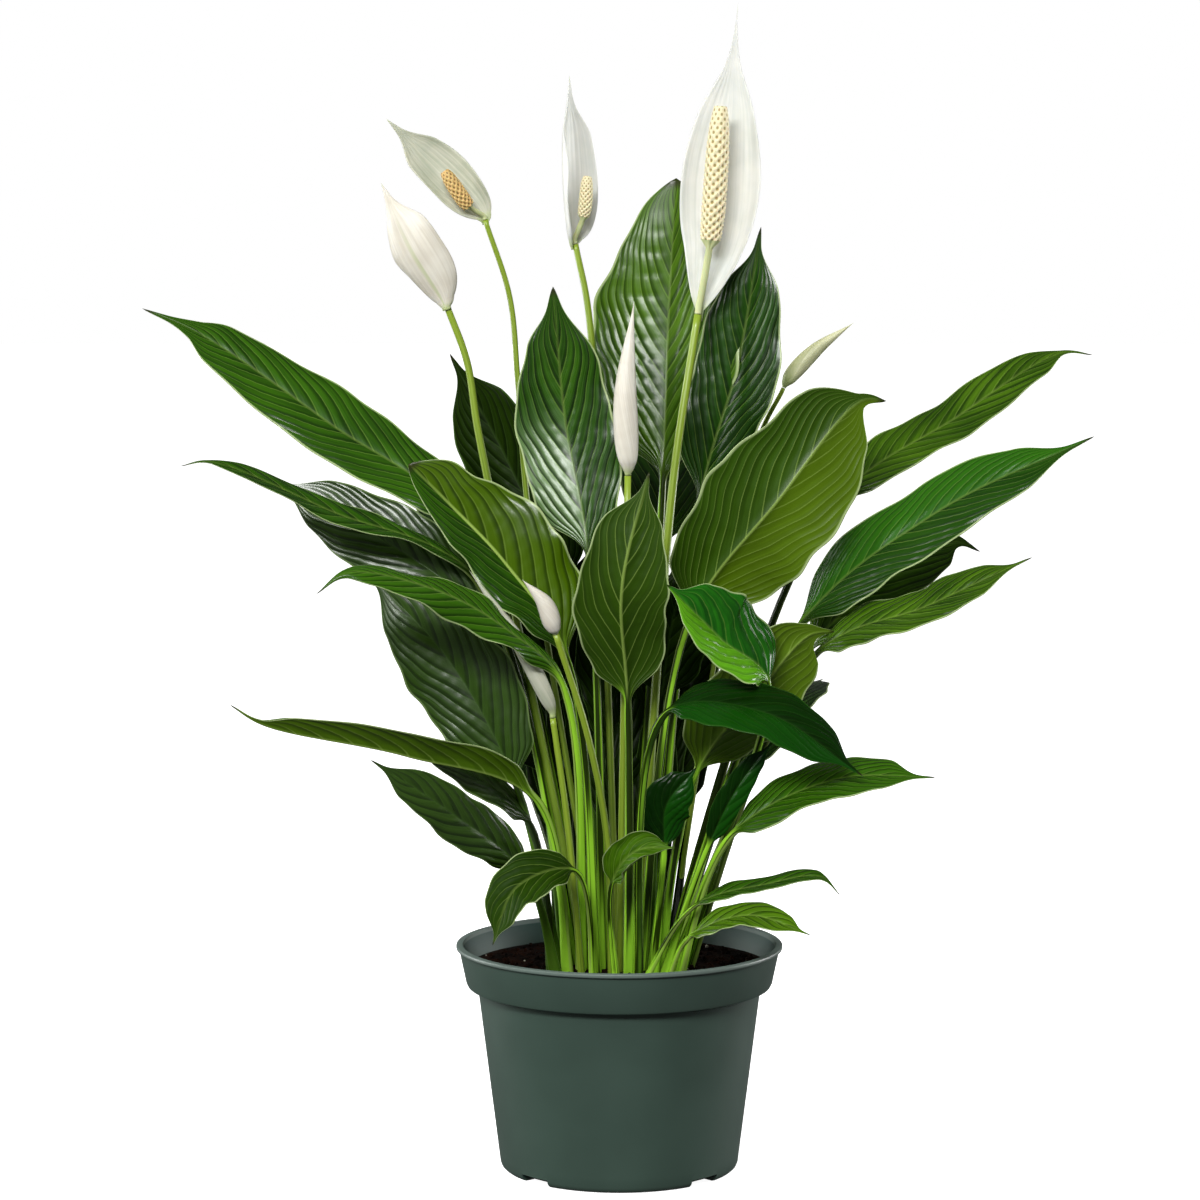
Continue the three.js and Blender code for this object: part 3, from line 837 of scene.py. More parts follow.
    def material(self) -> Material:
        """Builds the material.

        Returns:
            The finished material.
        """
        bench = Bench(self.name)
        across, along, _ = bench.triple(PLACE)
        phase, _, tint_and_shade = bench.triple(GRAIN)
        off = bench.unsigned(across)
        own = bench.times(tint_and_shade, PATTERN.own)
        streak = bench.noise(bench.stretched(phase, off, PATTERN.fine, own), 1.0)
        broad = bench.noise(bench.stretched(phase, off, PATTERN.wide, own), 1.0, 1.0)
        patch = bench.noise(bench.object_place(), PATTERN.patch)
        mood = bench.plus(bench.times(streak, PATTERN.drift), bench.times(patch, PATTERN.drift))
        mood = bench.plus(mood, bench.times(broad, PATTERN.drift))
        # The leaf's tint, with its painted shade, shifts the blade's colour.
        own_tint = bench.times(bench.math("SUBTRACT", tint_and_shade, 0.5), PATTERN.tint_drift)
        blade = self.blade_colour(bench, bench.plus(mood, own_tint))
        is_blade = bench.ranged(along, *PATTERN.blade_start)
        colour = bench.mix(is_blade, self.stem_colour(bench), blade)
        rougher = self.roughness + PATTERN.rough_drift
        rough = bench.ranged(streak, *PATTERN.mood, self.roughness, rougher)
        rough = bench.plus(rough, PATTERN.by_face(bench, PATTERN.rough_under, 0.0))
        bench.plug(bench.shader.inputs["Roughness"], rough)
        self.raise_quilt(bench, streak)
        return bench.finish(colour, Specular_IOR_Level=self.gloss)


class Tone(Enum):
    """How a leaf's skin is coloured, by its age and the light that reaches it, as painted light and
    shade.
    """

    FRESH = LeafSkin("leaf_fresh")
    DEEP = LeafSkin(
        "leaf_deep", deep=(0.004, 0.018, 0.001), fresh=(0.016, 0.070, 0.002), under=(0.026, 0.068, 0.001)
    )
    SHADED = LeafSkin(
        "leaf_shaded",
        deep=(0.003, 0.009, 0.0005),
        fresh=(0.012, 0.030, 0.001),
        under=(0.012, 0.034, 0.002),
        vein=(0.060, 0.120, 0.025),
        rim=(0.060, 0.120, 0.025),
        stem=(0.040, 0.095, 0.008),
        roughness=0.30,
        gloss=0.06,
    )
    # A glossy copy of the skin, darkened with painted shade.
    GLOSSY_SHADED = LeafSkin(
        "leaf_glossy",
        deep=(0.004, 0.015, 0.001),
        fresh=(0.025, 0.062, 0.004),
        vein=(0.060, 0.130, 0.025),
        rim=(0.160, 0.240, 0.080),
        stem=(0.070, 0.160, 0.012),
        roughness=0.27,
        gloss=0.60,
    )
    # A dark skin with painted light on its right half.
    DARK = LeafSkin(
        "leaf_dark",
        deep=(0.002, 0.009, 0.0005),
        fresh=(0.003, 0.026, 0.001),
        vein=(0.024, 0.080, 0.010),
        rim=(0.024, 0.080, 0.010),
        lit_half=(0.005, 0.056, 0.002),
        gloss=0.14,
        furrow_shade=0.2,
    )
    # A bright green skin with painted light on its left half.
    BRIGHT_HALF_LIT = LeafSkin(
        "leaf_bright",
        deep=(0.004, 0.050, 0.003),
        fresh=(0.018, 0.165, 0.006),
        lit_half=(0.125, 0.420, 0.010),
        lit_side=-1.0,
        furrow_shade=0.4,
    )
    # Painted light on the left half, with the other half left darker.
    SPLIT_LIT = LeafSkin(
        "leaf_split",
        deep=(0.004, 0.024, 0.001),
        fresh=(0.014, 0.062, 0.002),
        lit_half=(0.022, 0.118, 0.003),
        lit_side=-1.0,
        furrow_shade=0.4,
    )
    MATT = LeafSkin(
        "leaf_matt",
        deep=(0.006, 0.019, 0.001),
        fresh=(0.018, 0.050, 0.001),
        roughness=0.45,
        gloss=0.05,
        furrow_shade=0.3,
    )
    SOFT = LeafSkin(
        "leaf_soft",
        deep=(0.014, 0.048, 0.001),
        fresh=(0.060, 0.150, 0.003),
        roughness=0.42,
        gloss=0.08,
        furrow_shade=0.3,
    )
    BACKLIT = LeafSkin(
        "leaf_backlit",
        under=(0.032, 0.086, 0.001),
        lit_half=(0.092, 0.176, 0.003),
        lit_side=-1.0,
    )
    OLIVE = LeafSkin(
        "leaf_olive",
        deep=(0.012, 0.042, 0.001),
        fresh=(0.070, 0.165, 0.004),
        under=(0.105, 0.200, 0.006),
    )
    # A painted sheen on the lower part of the left half, with deep painted shade beside the side veins.
    STREAKED_SHEEN = LeafSkin(
        "leaf_streaked",
        lit_half=(0.130, 0.230, 0.080),
        lit_side=-1.0,
        lit_end=0.62,
        roughness=0.24,
        gloss=0.36,
        furrow_shade=0.85,
    )
    HALF_LIT = LeafSkin(
        "leaf_half_lit",
        deep=(0.004, 0.024, 0.001),
        lit_half=(0.058, 0.122, 0.001),
        midrib=0.9,
    )


@dataclass(frozen=True)
class HoodSkin:
    """The soft white skin of a hood, green at its foot, at its tip and down its back.

    white is its colour in the light and grey its painted shade between the ribs and in patches. Pairs
    are where a change starts and where it ends: along the hood from 0 to 1, across it from 0 to the edge
    at 1, or, for back, from its outer face to its inner one. ribs counts waves across and along, and
    cloud counts them in a metre. relief is in millimetres, and the rest are shares.
    """

    name: str
    white: Colour = (0.70, 0.70, 0.66)
    grey_shade: Colour = (0.58, 0.60, 0.56)
    green: Colour = (0.42, 0.52, 0.20)
    foot_end: float = 0.10
    foot_green: float = 0.9
    tip_start: float = 0.95
    tip_green: float = 0.5
    roughness: float = 0.45
    ribs: Pair = (11.0, 1.2)
    cloud: float = 60.0
    mood: Pair = (0.35, 0.65)
    back: Pair = (-0.5, 0.0)
    back_rib: Pair = (0.02, 0.10)
    back_green: float = 0.45
    back_fade: Pair = (0.3, 0.8)
    back_tip: float = 0.1
    flat_edge: Pair = (0.55, 0.90)
    edge_ribs: float = 0.1
    flat_tip: Pair = (0.40, 0.75)
    relief: float = 0.4

    def material(self) -> Material:
        """Builds the material.

        Returns:
            The finished material.
        """
        bench = Bench(self.name, self.roughness)
        across, along, side = bench.triple(PLACE)
        off = bench.unsigned(across)
        rib = bench.noise(bench.stretched(across, along, self.ribs), 1.0)
        cloud = bench.noise(bench.object_place(), self.cloud)
        shade = bench.times(bench.plus(rib, cloud), 0.5)
        # Painted shade between the ribs and in patches.
        colour = bench.mix(bench.ranged(shade, *self.mood), self.grey_shade, self.white)
        foot = bench.ranged(along, 0.0, self.foot_end, self.foot_green, 0.0)
        colour = bench.mix(foot, colour, self.green)
        tip = bench.ranged(along, self.tip_start, 1.0, 0.0, self.tip_green)
        colour = bench.mix(tip, colour, self.green)
        outside = bench.ranged(side, *self.back, 1.0, 0.0)
        middle = bench.ranged(off, *self.back_rib, self.back_green, 0.0)
        middle = bench.times(middle, bench.ranged(along, *self.back_fade, 1.0, self.back_tip))
        colour = bench.mix(bench.times(outside, middle), colour, self.green)
        ribbed = bench.ranged(off, *self.flat_edge, 1.0, self.edge_ribs)
        ribbed = bench.times(ribbed, bench.ranged(along, *self.flat_tip, 1.0, 0.0))
        bench.bump(bench.times(rib, ribbed), self.relief * MM, strength=0.5)
        return bench.finish(
            colour,
            Subsurface_Weight=0.25,
            Subsurface_Radius=(1.0, 0.9, 0.7),
            Subsurface_Scale=0.002,
            Specular_IOR_Level=0.35,
        )


class HoodTone(Enum):
    """The colour of a hood."""

    WHITE = HoodSkin("hood_white")
    SHADED = HoodSkin("hood_shaded", white=(0.54, 0.54, 0.44), grey_shade=(0.37, 0.40, 0.30))
    CREAM = HoodSkin("hood_cream", white=(0.74, 0.71, 0.62), grey_shade=(0.60, 0.56, 0.47), foot_end=0.07)
    GREENISH = HoodSkin(
        "hood_greenish", white=(0.62, 0.62, 0.40), grey_shade=(0.34, 0.36, 0.18), foot_end=0.30
    )


@dataclass(frozen=True)
class StalkSkin:
    """The smooth skin of a flower's stem, from its light green to its dark one.

    lines counts waves across and along, mood is where the dark green ends and where the light one is
    full, and relief is in millimetres. The rest are shares.
    """

    name: str = "stalk_skin"
    light: Colour = (0.250, 0.360, 0.028)
    dark: Colour = (0.070, 0.130, 0.008)
    roughness: float = 0.38
    lines: Pair = (5.0, 3.0)
    line_share: float = 0.7
    length_share: float = 0.35
    mood: Pair = (0.25, 0.75)
    relief: float = 0.25

    def material(self) -> Material:
        """Builds the material.

        Returns:
            The finished material.
        """
        bench = Bench(self.name, self.roughness)
        across, along, _ = bench.triple(PLACE)
        line = bench.noise(bench.stretched(across, along, self.lines), 1.0, 3.0)
        mood = bench.plus(bench.times(line, self.line_share), bench.times(along, self.length_share))
        colour = bench.mix(bench.ranged(mood, *self.mood), self.dark, self.light)
        bench.bump(line, self.relief * MM, strength=0.5)
        return bench.finish(colour, Coat_Weight=0.15, Coat_Roughness=0.25)


@dataclass(frozen=True)
class SpikeSkin:
    """The knobbed face of a spike: its florets, the pits between them and the bare foot.

    knob and spot are where a change starts and where it ends up a floret, and foot_top is where the
    bare stem ends along the spike.
    """

    name: str
    cream: Colour = (0.80, 0.72, 0.46)
    pit: Colour = (0.34, 0.26, 0.09)
    dot: Colour = (0.22, 0.15, 0.04)
    foot: Colour = (0.55, 0.60, 0.30)
    roughness: float = 0.6
    knob: Pair = (0.10, 0.45)
    spot: Pair = (0.93, 0.99)
    spot_share: float = 0.6
    foot_top: Pair = (-0.02, 0.0)

    def material(self) -> Material:
        """Builds the material.

        Returns:
            The finished material.
        """
        bench = Bench(self.name, self.roughness)
        relief, share, _ = bench.triple(PLACE)
        colour = bench.mix(bench.ranged(relief, *self.knob), self.pit, self.cream)
        colour = bench.mix(bench.ranged(relief, *self.spot, 0.0, self.spot_share), colour, self.dot)
        colour = bench.mix(bench.ranged(share, *self.foot_top, 1.0, 0.0), colour, self.foot)
        return bench.finish(colour, Subsurface_Weight=0.1, Subsurface_Scale=0.001)


class SpikeTone(Enum):
    """The colour of a spike, by its age."""

    CREAM = SpikeSkin("spike_cream")
    GOLDEN = SpikeSkin(
        "spike_golden", cream=(0.62, 0.42, 0.15), pit=(0.22, 0.12, 0.03), dot=(0.12, 0.06, 0.01)
    )


@dataclass(frozen=True)
class PotPlastic:
    """Satin moulded plastic: the outside, the inside over the soil in painted shade, and a painted
    highlight on the edge of the lip.

    dim is the outside's darker colour as a share of its lighter one, and mood the drift between them.
    lip_height is where the lip starts and lip_blend how high the change to it is, both in metres.
    cloud and grain count waves in a metre, relief is in millimetres, and the rest are shares.
    """

    name: str = "pot_plastic"
    colour: Colour = (0.046, 0.080, 0.062)
    # The inner wall: the same plastic darkened with painted shade.
    inside: Colour = (0.003, 0.034, 0.027)
    # A painted highlight on the edge of the lip.
    lip_highlight: Colour = (0.160, 0.200, 0.180)
    lip_highlight_share: float = 0.55
    lip_height: float = 0.1118
    lip_blend: float = 0.8 * MM
    dim: float = 0.82
    mood: Pair = (0.3, 0.7)
    cloud: float = 14.0
    grain: float = 900.0
    relief: float = 0.05
    roughness: Pair = (0.36, 0.46)
    rough_mood: Pair = (0.2, 0.8)
    rough_inside: float = 0.3

    def material(self) -> Material:
        """Builds the material.

        Returns:
            The finished material.
        """
        bench = Bench(self.name)
        place = bench.object_place()
        grain = bench.noise(place, self.grain)
        cloud = bench.noise(place, self.cloud, 3.0)
        darker = dimmed(self.colour, self.dim)
        colour = bench.mix(bench.ranged(cloud, *self.mood), darker, self.colour)
        is_inside, _, _ = bench.triple(PLACE)
        # Painted shade on the inner wall.
        colour = bench.mix(is_inside, colour, self.inside)
        _, _, height = bench.split(place)
        lip_end = self.lip_height + self.lip_blend
        # A painted highlight on the lip's top edge.
        lip = bench.ranged(height, self.lip_height, lip_end, 0.0, self.lip_highlight_share)
        colour = bench.mix(lip, colour, self.lip_highlight)
        rough = bench.ranged(cloud, *self.rough_mood, *self.roughness)
        rough = bench.plus(rough, bench.times(is_inside, self.rough_inside))
        bench.plug(bench.shader.inputs["Roughness"], rough)
        bench.bump(grain, self.relief * MM, strength=0.35)
        return bench.finish(colour, Specular_IOR_Level=0.5)


@dataclass(frozen=True)
class Peat:
    """Moist peat with dark wet crumbs and drier brown ones.

    crumb and patch count waves in a metre, mood is where the wet ends and where the dry is full, and
    relief is in millimetres.
    """

    name: str = "peat"
    dark: Colour = (0.002, 0.001, 0.0005)
    brown: Colour = (0.013, 0.0045, 0.002)
    roughness: float = 0.85
    crumb: float = 420.0
    patch: float = 90.0
    mood: Pair = (0.40, 0.64)
    relief: float = 0.8

    def material(self) -> Material:
        """Builds the material.

        Returns:
            The finished material.
        """
        bench = Bench(self.name, self.roughness)
        place = bench.object_place()
        crumb = bench.noise(place, self.crumb, 4.0)
        patch = bench.noise(place, self.patch)
        mood = bench.times(bench.plus(crumb, patch), 0.5)
        colour = bench.mix(bench.ranged(mood, *self.mood), self.dark, self.brown)
        bench.bump(crumb, self.relief * MM, strength=0.8)
        return bench.finish(colour, Specular_IOR_Level=0.05)


@dataclass(frozen=True)
class Perlite:
    """Light mineral grains among the peat, with dusty places.

    dim is the dust's colour as a share of the grains', speck counts its waves in a metre, and mood is
    where it ends and where the clean grain is full.
    """

    name: str = "perlite"
    colour: Colour = (0.38, 0.35, 0.29)
    dim: float = 0.45
    roughness: float = 0.9
    speck: float = 700.0
    mood: Pair = (0.35, 0.65)

    def material(self) -> Material:
        """Builds the material.

        Returns:
            The finished material.
        """
        bench = Bench(self.name, self.roughness)
        speck = bench.noise(bench.object_place(), self.speck, 3.0)
        dusty = dimmed(self.colour, self.dim)
        return bench.finish(bench.mix(bench.ranged(speck, *self.mood), dusty, self.colour))


# ---- Pot and soil ----


@dataclass(frozen=True)
class NurseryPot:
    """The moulded pot: a tapering body under a deep collar, with a thin lip and slots at its foot.

    Sizes are in millimetres. body_shares are the heights of the body's rings as shares of its own, near
    is how close two places are the same, least_turn the least angle of an edge that is rounded, in
    radians, and inner_share how much of the wall's thickness counts as inside.
    """

    height: float = 114.0
    lip_radius: float = 82.5
    lip_height: float = 2.4
    lip_bevel: float = 0.5
    collar_top_radius: float = 81.0
    collar_foot_radius: float = 77.5
    collar_depth: float = 19.0
    body_top_radius: float = 71.5
    base_radius: float = 60.0
    base_round: float = 3.0
    step_height: float = 3.6
    step_round: float = 0.8
    wall: float = 1.8
    floor: float = 2.4
    steps: int = 144
    drain_slots: int = 4
    drain_width: float = 18.0
    drain_height: float = 4.0
    drain_reach: float = 9.0
    body_shares: tuple[float, ...] = (0.09, 0.35, 0.65, 1.0)
    near: float = 0.02
    least_turn: float = 0.3
    sharp_degrees: float = 35.0
    inner_share: float = 0.3

    @property
    def collar_foot(self) -> float:
        """The height of the collar's foot."""
        return self.height - self.collar_depth

    def inner_radius(self, height: float) -> float:
        """Measures the inner wall.

        Args:
            height: The height to measure it at.

        Returns:
            Its radius there.
        """
        if height < self.collar_foot:
            share = height / self.collar_foot
            return self.base_radius + share * (self.body_top_radius - self.base_radius) - self.wall
        share = (height - self.collar_foot) / self.collar_depth
        grow = self.collar_top_radius - self.collar_foot_radius
        return self.collar_foot_radius + share * grow - self.wall

    def body_points(self) -> list[Pair]:
        """Lays the points of the body's outer wall over its foot.

        Returns:
            Their radii and heights.
        """
        step_foot = self.collar_foot - self.step_height
        spread = self.body_top_radius - self.base_radius
        return [(self.base_radius + spread * share, step_foot * share) for share in self.body_shares]

    def outline(self) -> list[Pair]:
        """Draws the wall's outline from the axis below to the axis inside.

        Returns:
            The radii and heights of its points.
        """
        step_foot = self.collar_foot - self.step_height
        lip_foot = self.height - self.lip_height
        return [
            (0.0, 0.0),
            (self.base_radius, 0.0),
            *self.body_points(),
            (self.collar_foot_radius - self.step_round, self.collar_foot - 2 * self.step_round),
            (self.collar_foot_radius, self.collar_foot),
            (self.collar_top_radius, lip_foot),
            (self.lip_radius, lip_foot + self.lip_bevel),
            (self.lip_radius, self.height),
            (self.collar_top_radius - self.wall, self.height),
            (self.inner_radius(self.collar_foot), self.collar_foot),
            (self.inner_radius(step_foot), step_foot),
            (self.inner_radius(self.floor), self.floor),
            (0.0, self.floor),
        ]

    def wall_mesh(self) -> bmesh.types.BMesh:
        """Turns the outline about the pot's axis and rounds its edges.

        Returns:
            The wall.
        """
        bm = bmesh.new()
        points = [bm.verts.new((radius * MM, 0.0, height * MM)) for radius, height in self.outline()]
        edges = [bm.edges.new(pair) for pair in zip(points, points[1:])]
        bmesh.ops.spin(
            bm,
            geom=points + edges,
            axis=(0, 0, 1),
            angle=2 * math.pi,
            steps=self.steps,
            use_merge=True,
        )
        bmesh.ops.remove_doubles(bm, verts=bm.verts, dist=self.near * MM)
        bmesh.ops.recalc_face_normals(bm, faces=bm.faces)
        self.round_edge(bm, self.base_radius, self.base_round)
        self.round_edge(bm, self.lip_radius, self.lip_bevel)
        return bm

    def round_edge(self, bm: bmesh.types.BMesh, radius: float, reach: float) -> None:
        """Rounds the sharp rings of the wall that lie at one radius.

        Args:
            bm: The wall.
            radius: The rings' radius.
            reach: How far the round reaches.
        """
        rings = []
        for edge in bm.edges:
            reached = [math.hypot(end.co.x, end.co.y) / MM for end in edge.verts]
            at_radius = all(abs(each - radius) < self.near for each in reached)
            level = abs(edge.verts[0].co.z - edge.verts[1].co.z) < self.near * MM
            if at_radius and level and edge.calc_face_angle(0.0) > self.least_turn:
                rings.append(edge)
        bmesh.ops.bevel(
            bm,
            geom=rings,
            offset=reach * MM,
            offset_type="OFFSET",
            segments=3,
            profile=0.5,
            affect="EDGES",
            material=-1,
            clamp_overlap=True,
        )

    def slot_mesh(self) -> bmesh.types.BMesh:
        """Makes the blocks that cut the slots at the pot's foot.

        Returns:
            The blocks as one mesh.
        """
        bm = bmesh.new()
        size = (2 * self.drain_reach * MM, self.drain_width * MM, 2 * self.drain_height * MM)
        shape = Matrix.Diagonal((*size, 1))
        out = Matrix.Translation((self.base_radius * MM, 0, 0))
        for index in range(self.drain_slots):
            turn = Matrix.Rotation(2 * math.pi * (index + 0.5) / self.drain_slots, 4, "Z")
            bmesh.ops.create_cube(bm, size=1.0, matrix=turn @ out @ shape)
        return bm

    def build(self) -> None:
        """Builds the pot."""
        material = PotPlastic().material()
        piece = put_in_scene("pot_shell", self.wall_mesh(), material)
        cutter = put_in_scene("pot_slots", self.slot_mesh(), material)
        cut = piece.modifiers.new("slots", "BOOLEAN")
        cut.operation = "DIFFERENCE"
        cut.solver = "EXACT"
        cut.object = cutter
        depsgraph = bpy.context.evaluated_depsgraph_get()
        shape = bpy.data.meshes.new_from_object(piece.evaluated_get(depsgraph))
        piece.modifiers.clear()
        piece.data = shape
        bpy.data.objects.remove(cutter)
        shape.set_sharp_from_angle(angle=math.radians(self.sharp_degrees))
        self.mark_inside(shape)
        settle(piece, "pot", "pot")

    def mark_inside(self, mesh: bpy.types.Mesh) -> None:
        """Marks the inner wall in PLACE, whose first number is 1 there.

        Args:
            mesh: The pot's mesh.
        """
        places = np.zeros((len(mesh.vertices), 3), np.float32)
        for vertex in mesh.vertices:
            radius = math.hypot(vertex.co.x, vertex.co.y) / MM
            height = vertex.co.z / MM
            if height > self.floor - self.near:
                inner = self.inner_radius(height) + self.inner_share * self.wall
                places[vertex.index, 0] = float(radius < inner)
        attribute = mesh.attributes.new(PLACE, "FLOAT_VECTOR", "POINT")
        attribute.data.foreach_set("vector", places.ravel())


@dataclass(frozen=True)
class Soil:
    """The peat in the pot, with loose crumbs and light grains on it. Sizes are in millimetres."""

    pot: NurseryPot
    clearance: float = 0.4
    columns: int = 180
    top_rows: int = 74
    lump: float = 2.2
    coarse_size: float = 14.0
    coarse_share: float = 0.45
    fine_size: float = 3.4
    fine_share: float = 0.35
    level_rim: float = 4.0
    crumbs: int = 520
    crumb_size: Pair = (0.6, 1.9)
    grains: int = 24
    grain_size: Pair = (0.5, 1.1)
    proud: float = 0.25
    stretches: tuple[Pair, ...] = ((0.7, 1.4), (0.6, 1.1), (0.6, 1.0))
    seed: int = 7

    def lift(self, x: float, y: float) -> float:
        """Measures the crumbly surface.

        Args:
            x: How far to the right of the axis.
            y: How far behind it.

        Returns:
            The surface's rise there.
        """
        coarse = noise.fractal(Vector((x / self.coarse_size, y / self.coarse_size, 0.3)), 0.9, 2.0, 3)
        fine = noise.fractal(Vector((x / self.fine_size, y / self.fine_size, 4.1)), 0.8, 2.0, 3)
        return self.lump * (self.coarse_share * coarse + self.fine_share * fine)

    def body_mesh(self) -> bmesh.types.BMesh:
        """Makes the body of peat, from the middle of its top round to the middle of its foot.

        Returns:
            The peat.
        """
        foot = self.pot.floor + SEAT_GAP
        step_foot = self.pot.collar_foot - self.pot.step_height
        rim = self.pot.inner_radius(SOIL_TOP) - self.clearance
        outline = [(rim * row / self.top_rows, SOIL_TOP) for row in range(self.top_rows + 1)]
        walls = (self.pot.collar_foot + self.clearance, step_foot + self.clearance, foot)
        outline += [(self.pot.inner_radius(height) - self.clearance, height) for height in walls]
        outline.append((0.0, foot))
        rings = np.zeros((len(outline), self.columns, 3))
        for row, (radius, height) in enumerate(outline):
            for column in range(self.columns):
                angle = 2 * math.pi * column / self.columns
                x, y = radius * math.cos(angle), radius * math.sin(angle)
                fade = min(1.0, (rim - radius) / self.level_rim) if height == SOIL_TOP else 0.0
                lift = fade * self.lift(x, y) if fade > 0 else 0.0
                rings[row, column] = (x, y, height + lift)
        return skin(rings, np.zeros_like(rings))

    def scatter(self, count: int, size: Pair, seed: int) -> bmesh.types.BMesh:
        """Strews lumps over the soil.

        Args:
            count: How many there are.
            size: Their smallest and largest radius.
            seed: Where the draws start.

        Returns:
            The lumps as one mesh.
        """
        draw = random.Random(seed)
        rim = self.pot.inner_radius(SOIL_TOP) - self.clearance - 2 * size[1]
        bm = bmesh.new()
        for _ in range(count):
            distance = rim * math.sqrt(draw.random())
            angle = draw.uniform(0, 2 * math.pi)
            x, y = distance * math.cos(angle), distance * math.sin(angle)
            radius = draw.uniform(*size)
            height = SOIL_TOP + self.lift(x, y) + self.proud * radius
            turn = Euler([draw.uniform(0, math.pi) for _ in range(3)]).to_matrix().to_4x4()
            stretch = Matrix.Diagonal([draw.uniform(*ends) for ends in self.stretches] + [1.0])
            shape = Matrix.Translation((x * MM, y * MM, height * MM)) @ turn @ stretch
            bmesh.ops.create_icosphere(bm, subdivisions=1, radius=radius * MM, matrix=shape)
        return bm

    def build(self) -> None:
        """Builds the peat, its crumbs and its light grains."""
        peat = Peat().material()
        settle(put_in_scene("soil_body", self.body_mesh(), peat), "soil", "soil")
        crumbs = self.scatter(self.crumbs, self.crumb_size, self.seed)
        settle(put_in_scene("soil_crumbs", crumbs, peat), "soil", "soil")
        grains = self.scatter(self.grains, self.grain_size, self.seed + 1)
        settle(put_in_scene("soil_grains", grains, Perlite().material()), "soil", "soil")


# ---- Leaves ----


